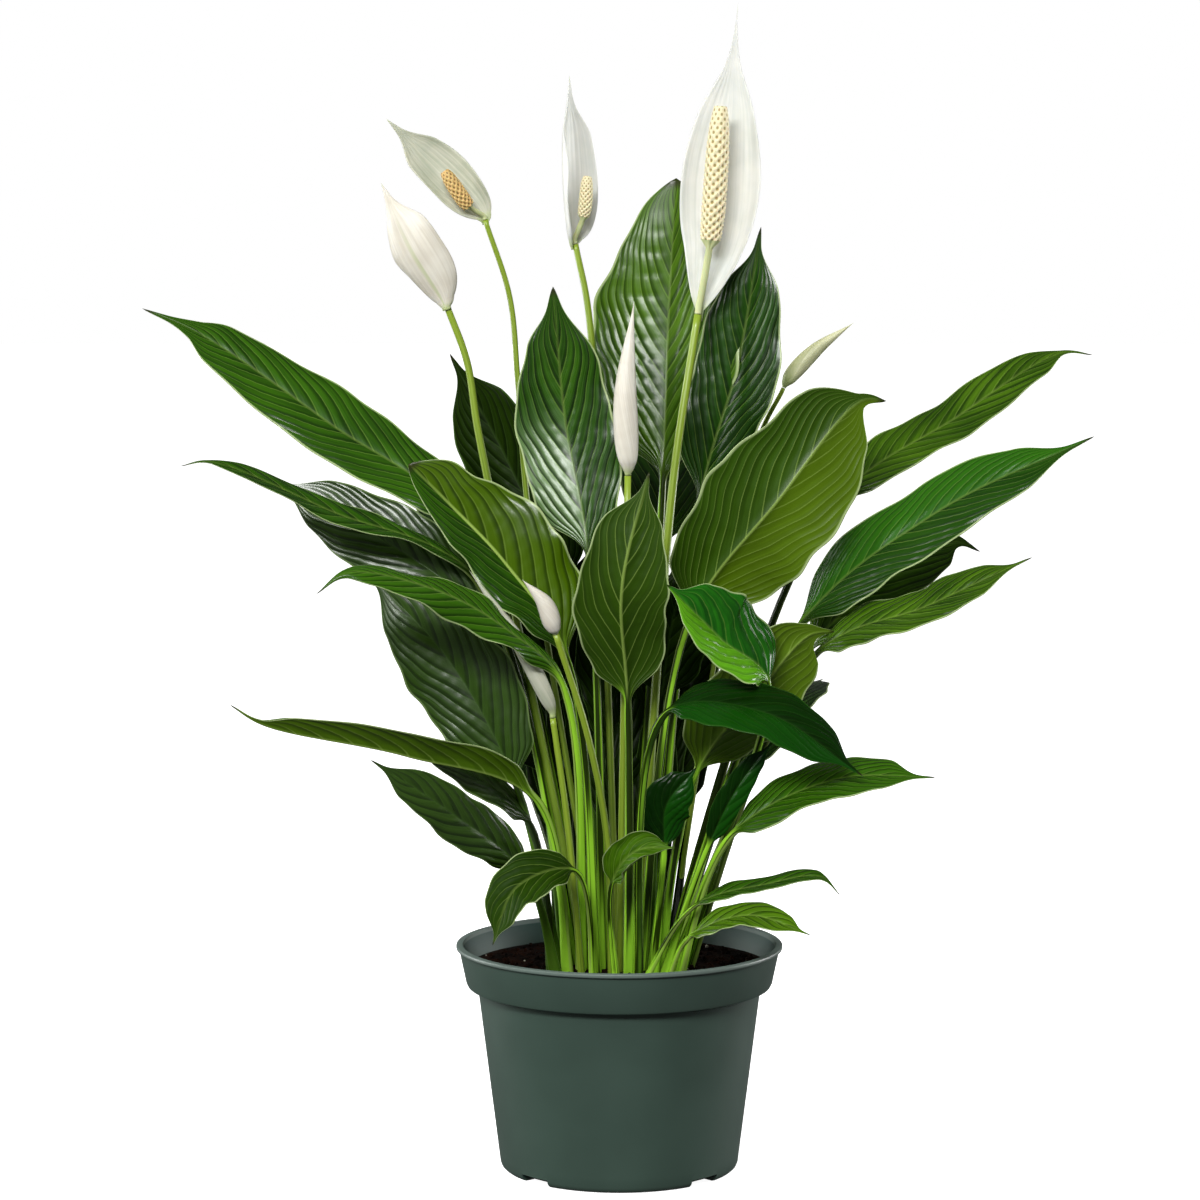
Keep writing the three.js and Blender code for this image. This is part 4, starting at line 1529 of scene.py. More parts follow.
@dataclass(frozen=True)
class Leaf:
    """One leaf: a stem from the soil that spreads into a pointed blade. Sizes are in millimetres.

    Attributes:
        name: Its name, which is also its node's.
        foot: Where it leaves the soil.
        width: The blade's width.
        blade: The points of its midrib, from the neck where the stem ends to the tip.
        facing: Which way the blade's upper side looks at the neck.
        fold: The rise of the blade's halves from the midrib, in radians.
        wave: The height of the waves along its edges.
        stem_size: The stem's thickness, as a share of the usual one.
        tip_facing: Which way the upper side looks at the tip, where it turns.
        tone: How its skin is coloured.
        curl: How far its edges roll up.
        lop: How much wider the right half is than the left.
        drip: How thin its tip is drawn out.
        node: Whether the model has a node for it.
    """

    name: str
    foot: Pair
    width: float
    blade: tuple[Triple, ...]
    facing: Triple
    fold: float = 0.12
    wave: float = 2.0
    stem_size: float = 1.0
    tip_facing: Optional[Triple] = None
    tone: Tone = Tone.FRESH
    curl: float = 0.0
    lop: float = 0.0
    drip: float = 0.72
    node: bool = True

    def stem_radius(self, stations: Array) -> Array:
        """Gives the stem's radius.

        Args:
            stations: Places in spans from the root.

        Returns:
            The radius at each.
        """
        share = np.clip(stations - 1, 0.0, 1.0)
        joint = swelling(stations, *LEAF.joint)
        foot = swelling(stations, *LEAF.foot_swelling)
        taper = LEAF.foot_radius + share * (LEAF.neck_radius - LEAF.foot_radius)
        return self.stem_size * taper * (1 + joint + foot)

    def stem_rings(self, line: SmoothLine) -> tuple[Array, Array]:
        """Lays the stem's rings.

        Args:
            line: The leaf's line.

        Returns:
            The rings, and their places in spans from the root less two, so that the neck is at 0.
        """
        above = np.linspace(1.0, LEAF.stem_end, LEAF.stem_rows)
        stations = np.concatenate([ROOT_STATIONS, above])
        frames = line.rolled_frames(stations, np.array(self.facing))
        radius = self.stem_radius(stations)
        right, up = round_ring(radius, 2 * LEAF.columns)
        sheath = smoothstep(stations, *LEAF.sheath_start) * (1 - smoothstep(stations, *LEAF.sheath_end))
        sheath = sheath[:, None]
        groove = 1 - LEAF.stem_groove * sheath * np.clip(up / radius[:, None], 0, 1) ** 6
        right = right * (1 + LEAF.sheath * sheath)
        return frames.offset(right, up * groove), stations - 2

    def vein_phase(self, across: Array, along: Array, length: float) -> Array:
        """Counts the side veins from the neck. They leave the midrib steeply and bend forward.

        Args:
            across: The way across from -1 to 1.
            along: The share of the blade's length.
            length: The blade's length.

        Returns:
            A number that is whole on every side vein.
        """
        off = np.abs(across)
        reach = min(LEAF.longest_vein, LEAF.vein_sweep * self.width / length)
        gap = LEAF.vein_gap * random.Random(f"{self.name} veins").uniform(*LEAF.gap_spread)
        count = max(LEAF.least_veins, length / gap)
        bent = (1 - LEAF.vein_bend) * off + LEAF.vein_bend * off**2
        return count * (along - reach * bent) + 0.5 * (across < 0)

    def blade_rings(self, line: SmoothLine) -> tuple[Array, Array, Array]:
        """Lays the blade's rings: round where it grows out of the stem, then flat and quilted.

        Args:
            line: The leaf's line.

        Returns:
            The rings, what PLACE holds on them and what GRAIN holds.
        """
        along = LEAF.stations()
        places = line.places_from(2, along)
        tip_facing = np.array(self.tip_facing or self.facing)
        facing = (1 - along[:, None]) * np.array(self.facing) + along[:, None] * tip_facing
        frames = line.frames(places, facing)
        across = LEAF.across()
        s, u = along[:, None], across[None, :]
        rib = LEAF.neck_radius * self.stem_size * (1 - LEAF.midrib_taper * s)
        half = np.maximum(self.width / 2 * LEAF.width_share(s, self.drip), LEAF.least_half * (1 - s))
        folded = np.abs(u) * math.sin(self.fold) - LEAF.arch * u**2 + self.curl * u**4
        height = half * folded + self.edge_height(u, s)
        length = float(np.sum(np.linalg.norm(np.diff(frames.centre, axis=0), axis=1)))
        phase = self.vein_phase(u, s, length)
        quilt = LEAF.quilt_height(u, s, phase, half)
        off = np.abs(u) * half
        groove = swelling(off, 0.0, LEAF.groove_reach * rib, LEAF.groove * rib)
        keel = swelling(off, 0.0, LEAF.keel_reach * rib, rib * (1 - LEAF.keel_taper * s))
        thinner = (1 - LEAF.edge_thinning * np.abs(u) ** 6) * (1 - LEAF.tip_thinning * s**4)
        thick = LEAF.thickness / 2 * thinner
        drawn_in = 1 - LEAF.curl_pull * self.curl * u**4
        right = u * half * self.margin(u, s) * math.cos(self.fold) * drawn_in
        right = np.hstack([right, right[:, ::-1]])
        top = height + quilt + thick - groove
        bottom = height + LEAF.under_quilt * quilt - thick - keel
        flat = frames.offset(right, np.hstack([top, bottom[:, ::-1]]))
        round_right, round_up = round_ring(rib[:, 0], 2 * LEAF.columns)
        stem = frames.offset(round_right, round_up)
        flatness = smoothstep(along, 0.0, LEAF.morph)[:, None, None]
        rings = stem * (1 - flatness) + flat * flatness
        rings[-1] = frames.centre[-1]
        return rings, self.marks(across, along), self.grain(phase, off)

    def edge_height(self, across: Array, along: Array) -> Array:
        """Gives the rise of the waves and ruffles towards the blade's edges.

        Args:
            across: The way across from -1 to 1.
            along: The share of the blade's length.

        Returns:
            The rise in millimetres.
        """
        side = np.sign(across)
        wave = np.sin(2 * math.pi * (LEAF.edge_waves * along + LEAF.edge_shift * side))
        ruffle = np.sin(2 * math.pi * (LEAF.ruffle_waves * along + LEAF.ruffle_shift * side))
        waves = self.wave * wave * across**2
        ruffles = LEAF.ruffle * self.wave * ruffle * np.abs(across) ** 5
        return (waves + ruffles) * (1 - along)

    def margin(self, across: Array, along: Array) -> Array:
        """Gives how far the edge strays in and out, which no two leaves do alike.

        Args:
            across: The way across from -1 to 1.
            along: The share of the blade's length.

        Returns:
            A factor for the width.
        """
        draw = random.Random(f"{self.name} edge")
        side = np.sign(across)
        stray = 1 + self.lop * side
        for height, waves, shift in (LEAF.slow_edge, LEAF.quick_edge):
            turns = waves * along + draw.random() + shift * side
            stray = stray + height * np.sin(2 * math.pi * turns)
        return stray

    def marks(self, across: Array, along: Array) -> Array:
        """Gives what PLACE holds on a row of rings.

        Args:
            across: The way across at each upper point.
            along: The way along at each ring.

        Returns:
            The numbers, in the form of the rings.
        """
        places = np.zeros((len(along), 2 * len(across), 3))
        places[:, :, 0] = np.concatenate([across, across[::-1]])
        places[:, :, 1] = along[:, None]
        places[:, :, 2] = np.repeat([1.0, -1.0], len(across))
        return places

    def grain(self, phase: Array, off: Array) -> Array:
        """Gives what GRAIN holds on a row of rings. Leaves farther back get darker tints: painted shade.

        Args:
            phase: The place among the side veins at each upper point.
            off: Its distance from the midrib.

        Returns:
            The numbers, in the form of the rings.
        """
        rows, columns = phase.shape
        grain = np.zeros((rows, 2 * columns, 3))
        grain[:, :, 0] = np.hstack([phase, phase[:, ::-1]])
        grain[:, :, 1] = np.hstack([off, off[:, ::-1]])
        own = LEAF.own_tint * random.Random(self.name).random()
        # Painted shade: the farther back the leaf's foot, the darker its tint.
        tint_and_shade = LEAF.least_tint - self.foot[1] / LEAF.shade_depth + own
        grain[:, :, 2] = min(1.0, max(0.0, tint_and_shade))
        return grain

    def build(self, materials: dict[Tone, Material]) -> None:
        """Builds the leaf.

        Args:
            materials: The material of every tone.
        """
        line = stem_line(self.foot, self.blade)
        stem, stations = self.stem_rings(line)
        blade, places, grain = self.blade_rings(line)
        across = LEAF.across()
        plain = np.zeros((len(stations), len(across)))
        stem_grain = self.grain(plain, plain + LEAF.off_midrib)
        bm = skin(
            np.concatenate([stem, blade]),
            np.concatenate([self.marks(across, stations), places]),
            np.concatenate([stem_grain, grain]),
        )
        piece = put_in_scene(f"{self.name}_skin", bm, materials[self.tone])
        settle(piece, "leaf", *([self.name] if self.node else []))


@dataclass(frozen=True)
class LeafForm:
    """What all the leaves have in common. Sizes are in millimetres.

    Pairs are where a change starts and where it ends: along the stem from the root at 0 over the foot
    at 1 to the neck at 2, or along or across the blade from 0 to 1. joint and foot_swelling give a
    swelling's middle, its reach and its height. slow_edge and quick_edge give a stray's height, its
    waves and how far the two edges are out of step. off_midrib is what GRAIN holds on the stem.
    """

    thickness: float = 0.7
    foot_radius: float = 2.5
    neck_radius: float = 1.7
    stem_rows: int = 16
    blade_rows: int = 92
    columns: int = 25
    morph: float = 0.14
    peak: float = 0.43
    rise: float = 0.62
    drip_start: float = 0.78
    drip_end: float = 0.94
    sheath: float = 0.15
    arch: float = 0.1
    edge_waves: float = 2.2
    edge_shift: float = 0.3
    ruffle: float = 0.35
    ruffle_waves: float = 5.6
    midrib_taper: float = 0.6
    quilt: float = 0.45
    vein_gap: float = 11.0
    vein_sweep: float = 1.25
    gap_spread: Pair = (0.85, 1.25)
    longest_vein: float = 0.55
    least_veins: float = 6.0
    vein_bend: float = 0.35
    stem_end: float = 1.97
    joint: Triple = (1.93, 0.05, 0.16)
    foot_swelling: Triple = (1.0, 0.22, 0.12)
    sheath_start: Pair = (0.6, 1.0)
    sheath_end: Pair = (1.1, 1.75)
    stem_groove: float = 0.35
    least_half: float = 0.5
    ruffle_shift: float = 0.2
    slow_edge: Triple = (0.045, 2.6, 0.21)
    quick_edge: Triple = (0.022, 6.1, -0.17)
    quilt_in: Pair = (0.02, 0.22)
    quilt_start: Pair = (0.03, 0.15)
    quilt_end: Pair = (0.75, 0.92)
    quilt_half: float = 14.0
    under_quilt: float = 0.8
    groove: float = 0.20
    groove_reach: float = 0.55
    keel_reach: float = 0.9
    keel_taper: float = 0.7
    edge_thinning: float = 0.45
    tip_thinning: float = 0.6
    curl_pull: float = 0.35
    crowding: float = 0.85
    off_midrib: float = 9.0
    # The tint at the middle, how fast painted shade darkens it with the foot's depth, and its random
    # share.
    least_tint: float = 0.14
    shade_depth: float = 90.0
    own_tint: float = 0.75

    def stations(self) -> Array:
        """Gives the shares of the blade's length at which its rings lie."""
        return np.linspace(0.0, 1.0, self.blade_rows)

    def width_share(self, along: Array, drip: float) -> Array:
        """Gives the blade's width along it as a share of its greatest.

        Args:
            along: The share of the blade's length.
            drip: How thin the tip is drawn out.

        Returns:
            A share from 0 to 1.
        """
        narrow = drip * smoothstep(along, self.drip_start, self.drip_end)
        return oval_share(along, self.peak, self.rise) * (1 - narrow)

    def across(self) -> Array:
        """Gives the columns' ways across, close together at the midrib and at the edges."""
        even = np.linspace(-1.0, 1.0, self.columns)
        return even - self.crowding * np.sin(2 * math.pi * even) / (2 * math.pi)

    def quilt_height(self, across: Array, along: Array, phase: Array, half: Array) -> Array:
        """Gives the rise of the blade between its side veins.

        Args:
            across: The way across from -1 to 1.
            along: The share of the blade's length.
            phase: The place among the side veins.
            half: Half the blade's width.

        Returns:
            The rise in millimetres.
        """
        off = np.abs(across)
        gap = np.abs(phase - np.round(phase))
        ridge = 0.8 * np.sin(math.pi * gap) ** 0.7 + 0.2 * np.abs(np.sin(2 * math.pi * gap))
        spread = smoothstep(off, *self.quilt_in) * (1 - off**5) * smoothstep(along, *self.quilt_start)
        narrow = np.minimum(1.0, half / self.quilt_half)
        return self.quilt * ridge * spread * narrow * (1 - smoothstep(along, *self.quilt_end))


LEAF = LeafForm()


def leaves() -> list[Leaf]:
    """Lists every leaf that has a node, by the place it takes in the plant.

    Returns:
        The leaves.
    """
    return [
        Leaf("leaf_left_high", (-18, 11), 42,
             ((-70, 16, 316), (-151, 44, 377), (-219, 64, 422), (-247, 68, 434)),
             (0.2, -0.8, 0.6), 0.15),
        Leaf("leaf_back_left_dark", (-6, 17), 50, ((-28, 34, 285), (-58, 45, 358), (-87, 50, 411)),
             (-0.1, -1, -0.5), 0.15, tone=Tone.SHADED),
        Leaf("leaf_left_front", (-12, -17), 50,
             ((-26, -30, 262), (-56, -28, 308), (-84, -28, 338), (-104, -30, 358)),
             (0.15, -1, 0.35), 0.35, 4.5, tone=Tone.HALF_LIT, lop=0.25, drip=-0.3),
        Leaf("leaf_left_slim", (-23, 3), 16,
             ((-72, -14, 300), (-142, -34, 335), (-200, -48, 360), (-214, -50, 358)),
             (0, -0.55, 0.8), 0.2),
        Leaf("leaf_left_shaded", (-27, 9), 42, ((-58, -6, 268), (-120, -4, 320), (-177, 4, 350)),
             (-0.1, -1, 0.3), 0.1, tone=Tone.GLOSSY_SHADED),
        Leaf("leaf_left_folded", (-19, -13), 22,
             ((-28, -40, 250), (-54, -54, 278), (-88, -70, 299), (-130, -88, 309), (-145, -90, 299)),
             (0, -0.7, 0.7), -0.2, 5),
        Leaf("leaf_left_broad", (-31, -2), 50, ((-51, -20, 196), (-85, -18, 260), (-126, -14, 304)),
             (-0.3, -1, 0.4), 0.1, tone=Tone.GLOSSY_SHADED),
        Leaf("leaf_left_low", (-26, -16), 30,
             ((-41, -38, 193), (-103, -74, 220), (-170, -100, 238), (-185, -104, 248)),
             (0, 0.1, 1), 0.9, 1),
        Leaf("leaf_left_low_dark", (-34, -9), 30, ((-45, -20, 178), (-74, -30, 205), (-104, -34, 220)),
             (0, -0.5, 1), 0.1, 1, tone=Tone.GLOSSY_SHADED),
        Leaf("leaf_left_hanging", (-32, -19), 25, ((-46, -42, 156), (-82, -68, 191), (-120, -84, 219)),
             (-0.4, -0.7, 0.5), 0.1, 1.5, tone=Tone.GLOSSY_SHADED),
        Leaf("leaf_over_rim", (-13, -31), 27, ((-22, -54, 160), (-50, -66, 154), (-62, -70, 126)),
             (-0.1, -0.8, 0.6), 0.3, 1, 0.7, (-0.6, -0.8, 0), tone=Tone.MATT),
        Leaf("leaf_small_front", (-2, -33), 20, ((-4, -48, 152), (8, -62, 171), (27, -70, 174)),
             (0, -0.8, 0.6), 0.2, 1, 0.7, tone=Tone.SOFT, curl=0.4),
        Leaf("leaf_round_front", (17, -19), 25, ((22, -28, 166), (23, -32, 189), (38, -32, 208)),
             (0.2, -1, 0.2), 0.1, 1, tone=Tone.DARK),
        Leaf("leaf_centre_front", (5, -18), 46, ((4, -36, 240), (1, -58, 300), (14, -64, 356)),
             (0.1, 1, -0.1), 0.12, 1.5, tone=Tone.DEEP),
        Leaf("leaf_right_large", (11, -12), 68,
             ((34, -32, 280), (77, -44, 341), (118, -34, 389), (131, -30, 389)),
             (-0.1, 1, 0.2), 0.1, tone=Tone.BACKLIT),
        Leaf("leaf_top_left", (6, 9), 82,
             ((22, 22, 345), (25, 34, 425), (29, 40, 500)), (-0.38, -1, 0.25), 0.24,
             tone=Tone.OLIVE, drip=-0.1),
        Leaf("leaf_top_right", (17, 9), 46, ((40, 12, 335), (60, 12, 408), (71, 14, 475)),
             (-0.3, -1, 0.2), 0.2, tone=Tone.DEEP),
        Leaf("leaf_inner_left", (-8, -5), 52,
             ((-15, -20, 310), (-27, -8, 379), (-33, -12, 445)), (-0.3, -1, 0.25),
             tone=Tone.STREAKED_SHEEN, drip=0.5),
        Leaf("leaf_right_high", (25, 9), 30,
             ((104, 16, 330), (174, 44, 379), (229, 64, 411), (246, 68, 410)),
             (0, -0.6, 0.8), 0.15, tone=Tone.OLIVE),
        Leaf("leaf_right_long", (25, -4), 42,
             ((88, -14, 274), (154, -38, 334), (229, -60, 373)), (0, -0.7, 0.7),
             tone=Tone.SPLIT_LIT),
        Leaf("leaf_right_shaded", (33, 3), 32,
             ((94, -2, 262), (133, 2, 297), (169, 8, 317), (182, 8, 312)),
             (0, -1, 0.3), 0.1, 1.5, tone=Tone.OLIVE),
        Leaf("leaf_right_slim", (35, -4), 32, ((96, -24, 262), (151, -56, 291), (197, -80, 316)),
             (0, -0.6, 0.8), 0.15, tone=Tone.OLIVE),
        Leaf("leaf_right_olive", (20, -9), 50,
             ((38, -22, 204), (68, -36, 246), (92, -40, 274), (106, -34, 276)),
             (-0.2, 1, 0.4), 0.1, tone=Tone.OLIVE),
        Leaf("leaf_right_curled", (25, -15), 46, ((72, -54, 252), (48, -72, 276), (22, -82, 303)),
             (0.3, -0.75, 0.5), 0.35, 1.5, tone=Tone.BRIGHT_HALF_LIT, lop=0.15),
        Leaf("leaf_right_dark", (9, -27), 38, ((22, -60, 238), (70, -83, 241), (116, -92, 212)),
             (0, -0.6, 0.9), 0.15, 1, tone=Tone.DARK),
        Leaf("leaf_right_low", (30, -23), 34, ((54, -50, 176), (103, -70, 207), (151, -88, 211)),
             (0, -0.6, 1), 0.12, 1.5),
        Leaf("leaf_right_narrow", (22, -27), 14, ((43, -46, 170), (58, -53, 202), (75, -56, 225)),
             (0.2, -0.8, 0.4), 0.2, 0.5, 0.8, tone=Tone.DARK),
        Leaf("leaf_right_lowest", (13, -34), 15,
             ((36, -44, 140), (72, -64, 155), (97, -80, 161), (106, -84, 153)),
             (0, -0.5, 1), 0.2, 1, 0.7),
        Leaf("leaf_right_rim", (24, -35), 20, ((34, -50, 126), (62, -72, 141), (91, -96, 136)),
             (0, -0.7, 1), 0.2, 1, 0.7, tone=Tone.OLIVE),
        Leaf("leaf_inner_right", (15, 0), 40, ((21, 1, 236), (26, 1, 274), (35, 3, 310)),
             (0, -1, 0.2), 0.1, 1.5, tone=Tone.SHADED),
        Leaf("leaf_inner_low_left", (-16, 18), 46, ((-32, 21, 190), (-52, 23, 258), (-72, 23, 322)),
             (-0.2, -1, 0.3), 0.1, tone=Tone.SHADED),
        Leaf("leaf_inner_low_centre", (1, 25), 52, ((-10, 34, 184), (-14, 40, 250), (-8, 44, 326)),
             (0, -1, 0.2), 0.1, tone=Tone.SHADED),
        Leaf("leaf_back_right", (18, 18), 50,
             ((62, 64, 288), (92, 108, 342), (112, 160, 358)), (-0.3, -0.4, 1)),
        Leaf("leaf_back_centre", (10, 23), 54,
             ((22, 72, 306), (28, 120, 364), (32, 184, 380)), (0, -0.5, 1)),
        Leaf("leaf_back_left", (-9, 27), 46,
             ((-48, 70, 270), (-84, 116, 318), (-106, 172, 330)), (0.3, -0.4, 1)),
        Leaf("leaf_back_low_right", (28, 18), 40, ((60, 52, 190), (90, 96, 228), (112, 148, 232)),
             (-0.2, -0.3, 1)),
        Leaf("leaf_back_low_left", (-21, 26), 38, ((-44, 58, 178), (-70, 104, 212), (-90, 158, 212)),
             (0.2, -0.3, 1)),
        Leaf("leaf_back_low_centre", (6, 33), 40,
             ((10, 68, 186), (8, 114, 226), (4, 170, 228)), (0, -0.3, 1)),
    ]


def inner_leaves(count: int = 22, seed: int = 21) -> list[Leaf]:
    """Draws the slim leaves that fill the middle of the plant, dark with painted shade.

    Args:
        count: How many there are.
        seed: Where the draws start.

    Returns:
        The leaves, none of which has a node of its own.
    """
    draw = random.Random(seed)
    drawn = []
    for index in range(count):
        spread = (index + 0.5) / count * 2 - 1
        foot = (30 * spread + draw.uniform(-3, 3), draw.uniform(6, 26))
        neck = (38 * spread + draw.uniform(-5, 5), draw.uniform(12, 40), draw.uniform(150, 225))
        middle = (
            46 * spread + draw.uniform(-6, 6),
            neck[1] + draw.uniform(0, 8),
            neck[2] + draw.uniform(35, 50),
        )
        tip = (
            54 * spread + draw.uniform(-6, 6),
            neck[1] + draw.uniform(4, 16),
            middle[2] + draw.uniform(30, 50),
        )
        facing = (draw.uniform(-0.3, 0.3), -1, draw.uniform(0.1, 0.4))
        width = draw.uniform(18, 30)
        name = f"inner_leaf_{index + 1}"
        blade = (neck, middle, tip)
        drawn.append(Leaf(name, foot, width, blade, facing, tone=Tone.SHADED, node=False))
    return drawn


# ---- Flowers ----


@dataclass(frozen=True)
class FlowerForm:
    """What all the flowers have in common. Sizes are in millimetres.

    Pairs are where a change starts and where it ends along the hood, from its foot at 0 to its tip at 1.
    """

    stalk_sides: int = 20
    stalk_rows: int = 14
    stalk_taper: float = 0.25
    hood_thickness: float = 0.9
    hood_rows: int = 88
    hood_columns: int = 33
    hood_peak: float = 0.42
    hood_unwrap: float = 0.5
    rib_height: float = 0.12
    ribs: int = 9
    bud_sides: int = 48
    bud_peak: float = 0.32
    bud_rise: float = 0.62
    tip_radius: float = 0.5
    hood_drip: float = 0.60
    bud_seam: float = 0.16
    bud_twist: float = 0.45
    florets_round: int = 16
    floret_rise: float = 0.14
    floret_steps: int = 7
    spike_stem_share: float = 0.9
    spike_stem_rows: int = 9
    spike_stem_end: float = 1.9
    spike_foot_share: float = 0.8
    spike_top: float = 0.94
    drip_span: Pair = (0.66, 0.90)
    tip_steepness: float = 12.0
    hood_wave: float = 0.05
    hood_waves: float = 2.1
    hood_shift: float = 0.25
    rib_span: Pair = (0.08, 0.3)
    rib_half: float = 8.0
    rib_thinning: float = 0.6
    edge_thinning: float = 0.55
    full_radius: float = 3.0
    seam_span: Pair = (0.02, 0.2)


FLOWER = FlowerForm()


@dataclass(frozen=True)
class Flower:
    """One flower: a stem, a hood and, where the hood is open, a spike. Sizes are in millimetres.

    Attributes:
        name: The start of its nodes' names.
        foot: Where its stem leaves the soil.
        radius: The stem's radius at its foot.
        stalk: The points of its stem above the foot. The hood starts at the last one.
        hood: The points of the hood's midline after that.
        width: The hood's width.
        wrap: The angle by which an open hood wraps round its spike to each side.
        facing: Which way the hood's hollow side looks.
        spike: The spike's lowest and highest floret, where there is a spike.
        spike_radius: The spike's radius.
        hood_tone: The hood's colour.
        spike_tone: The spike's colour.
        slope: How slowly an open hood widens from its foot.
    """

    name: str
    foot: Pair
    radius: float
    stalk: tuple[Triple, ...]
    hood: tuple[Triple, ...]
    width: float
    wrap: float = 0.0
    facing: Triple = (0, -1, 0)
    spike: Optional[tuple[Triple, Triple]] = None
    spike_radius: float = 0.0
    hood_tone: HoodTone = HoodTone.WHITE
    spike_tone: SpikeTone = SpikeTone.CREAM
    slope: float = 0.75

    def line(self) -> SmoothLine:
        """Gives the stem's line."""
        return stem_line(self.foot, self.stalk)

    def stalk_end(self) -> Frames:
        """Gives the frame at the end of the stem."""
        line = self.line()
        return line.frames(np.array([float(line.spans)]), np.array(self.facing, float))

    def end_radius(self) -> float:
        """Gives the stem's radius at its end."""
        return self.radius * (1 - FLOWER.stalk_taper)

    def build_stalk(self, material: Material) -> None:
        """Builds the stem.

        Args:
            material: What it is made of.
        """
        line = self.line()
        above = np.linspace(1, line.spans, FLOWER.stalk_rows * (line.spans - 1))
        stations = np.concatenate([ROOT_STATIONS, above])
        frames = line.rolled_frames(stations, self.stalk_end().up[0])
        radii = self.radius * (1 - FLOWER.stalk_taper * stations / line.spans)
        right, up = round_ring(radii, FLOWER.stalk_sides)
        rings = frames.offset(right, up)
        places = np.zeros_like(rings)
        places[:, :, 0] = np.linspace(-1, 1, FLOWER.stalk_sides)
        places[:, :, 1] = (stations / line.spans)[:, None]
        piece = put_in_scene(f"{self.name}_stem_skin", skin(rings, places), material)
        settle(piece, "stalk", f"{self.name}_stem")

    def hood_line(self, back: float, lift: float) -> SmoothLine:
        """Runs the hood's midline from the end of the stem.

        Args:
            back: How far behind the stem it starts.
            lift: How far along the stem's own way it starts.

        Returns:
            The line.
        """
        end = self.stalk_end()
        base = end.centre[0] - back * end.up[0] + lift * end.forward[0]
        knee = base + 2 * (back or self.radius) * end.forward[0]
        return SmoothLine(np.vstack([base, knee, np.array(self.hood, float)]))

    def open_rings(self) -> tuple[Array, Array]:
        """Lays the rings of an open hood: a thin sheet that bends round the spike.

        Returns:
            The rings, and what PLACE holds on them.
        """
        claw = self.end_radius() + SEAT_GAP + FLOWER.hood_thickness / 2
        line = self.hood_line(claw, -claw)
        along = np.linspace(0.0, 1.0, FLOWER.hood_rows)
        frames = line.frames(line.places_from(0, along), self.stalk_end().up[0])
        across = np.linspace(-1.0, 1.0, FLOWER.hood_columns)
        s, u = along[:, None], across[None, :]
        wrap = self.wrap * (1 - FLOWER.hood_unwrap * s)
        drip = 1 - FLOWER.hood_drip * smoothstep(s, *FLOWER.drip_span)
        oval = self.width / 2 * oval_share(s, FLOWER.hood_peak, self.slope) * drip
        least = np.where(s < FLOWER.hood_peak, claw * wrap, FLOWER.tip_radius)
        half = np.maximum(oval, least * np.minimum(1.0, FLOWER.tip_steepness * (1 - s)))
        radius = half / wrap
        sway = np.sin(2 * math.pi * (FLOWER.hood_waves * s + FLOWER.hood_shift * np.sign(u)))
        wave = FLOWER.hood_wave * half * np.abs(u) ** 4 * sway
        ribs = FLOWER.rib_height * np.cos(math.pi * FLOWER.ribs * u) * smoothstep(s, *FLOWER.rib_span)
        flatter = np.minimum(1.0, half / FLOWER.rib_half) * (1 - FLOWER.rib_thinning * np.abs(u) ** 3)
        thinner = (1 - FLOWER.edge_thinning * u**4) * np.minimum(1.0, radius / FLOWER.full_radius)
        thick = FLOWER.hood_thickness / 2 * thinner
        sheets = []
        for side in (1, -1):
            reach = radius - side * thick - ribs * flatter + wave
            right = reach * np.sin(u * wrap)
            up = radius - reach * np.cos(u * wrap)
            sheets.append((right, up))
        (top_right, top_up), (low_right, low_up) = sheets
        right = np.hstack([top_right, low_right[:, ::-1]])
        up = np.hstack([top_up, low_up[:, ::-1]])
        places = np.zeros((*right.shape, 3))
        places[:, :, 0] = np.concatenate([across, across[::-1]])
        places[:, :, 1] = along[:, None]
        places[:, :, 2] = np.repeat([1.0, -1.0], len(across))
        rings = frames.offset(right, up)
        rings[-1] = frames.centre[-1]
        return rings, places

    def furled_rings(self) -> tuple[Array, Array]:
        """Lays the rings of a furled hood: a slim spindle that its overlapping edge winds up.

        Returns:
            The rings, and what PLACE holds on them.
        """
        line = self.hood_line(0.0, SEAT_GAP)
        along = np.linspace(0.0, 1.0, FLOWER.hood_rows)
        frames = line.frames(line.places_from(0, along), self.stalk_end().up[0])
        oval = self.width / 2 * oval_share(along, FLOWER.bud_peak, FLOWER.bud_rise)
        least = np.where(along < FLOWER.bud_peak, self.end_radius(), FLOWER.tip_radius)
        radii = np.maximum(oval, least * np.minimum(1.0, FLOWER.tip_steepness * (1 - along)))
        around = np.arange(FLOWER.bud_sides)[None, :] / FLOWER.bud_sides
        turn = around + FLOWER.bud_twist * along[:, None]
        shown = smoothstep(along, *FLOWER.seam_span)[:, None]
        seam = 1 - FLOWER.bud_seam * np.mod(turn, 1.0) * shown
        right, up = round_ring(radii, FLOWER.bud_sides)
        rings = frames.offset(right * seam, up * seam)
        rings[-1] = frames.centre[-1]
        places = np.zeros_like(rings)
        places[:, :, 0] = np.sin(2 * math.pi * turn)
        places[:, :, 1] = along[:, None]
        places[:, :, 2] = 0.5
        return rings, places

    def build_hood(self, material: Material) -> None:
        """Builds the hood.

        Args:
            material: What it is made of.
        """
        rings, places = self.open_rings() if self.spike else self.furled_rings()
        piece = put_in_scene(f"{self.name}_hood_skin", skin(rings, places), material)
        settle(piece, "spathe", f"{self.name}_hood")

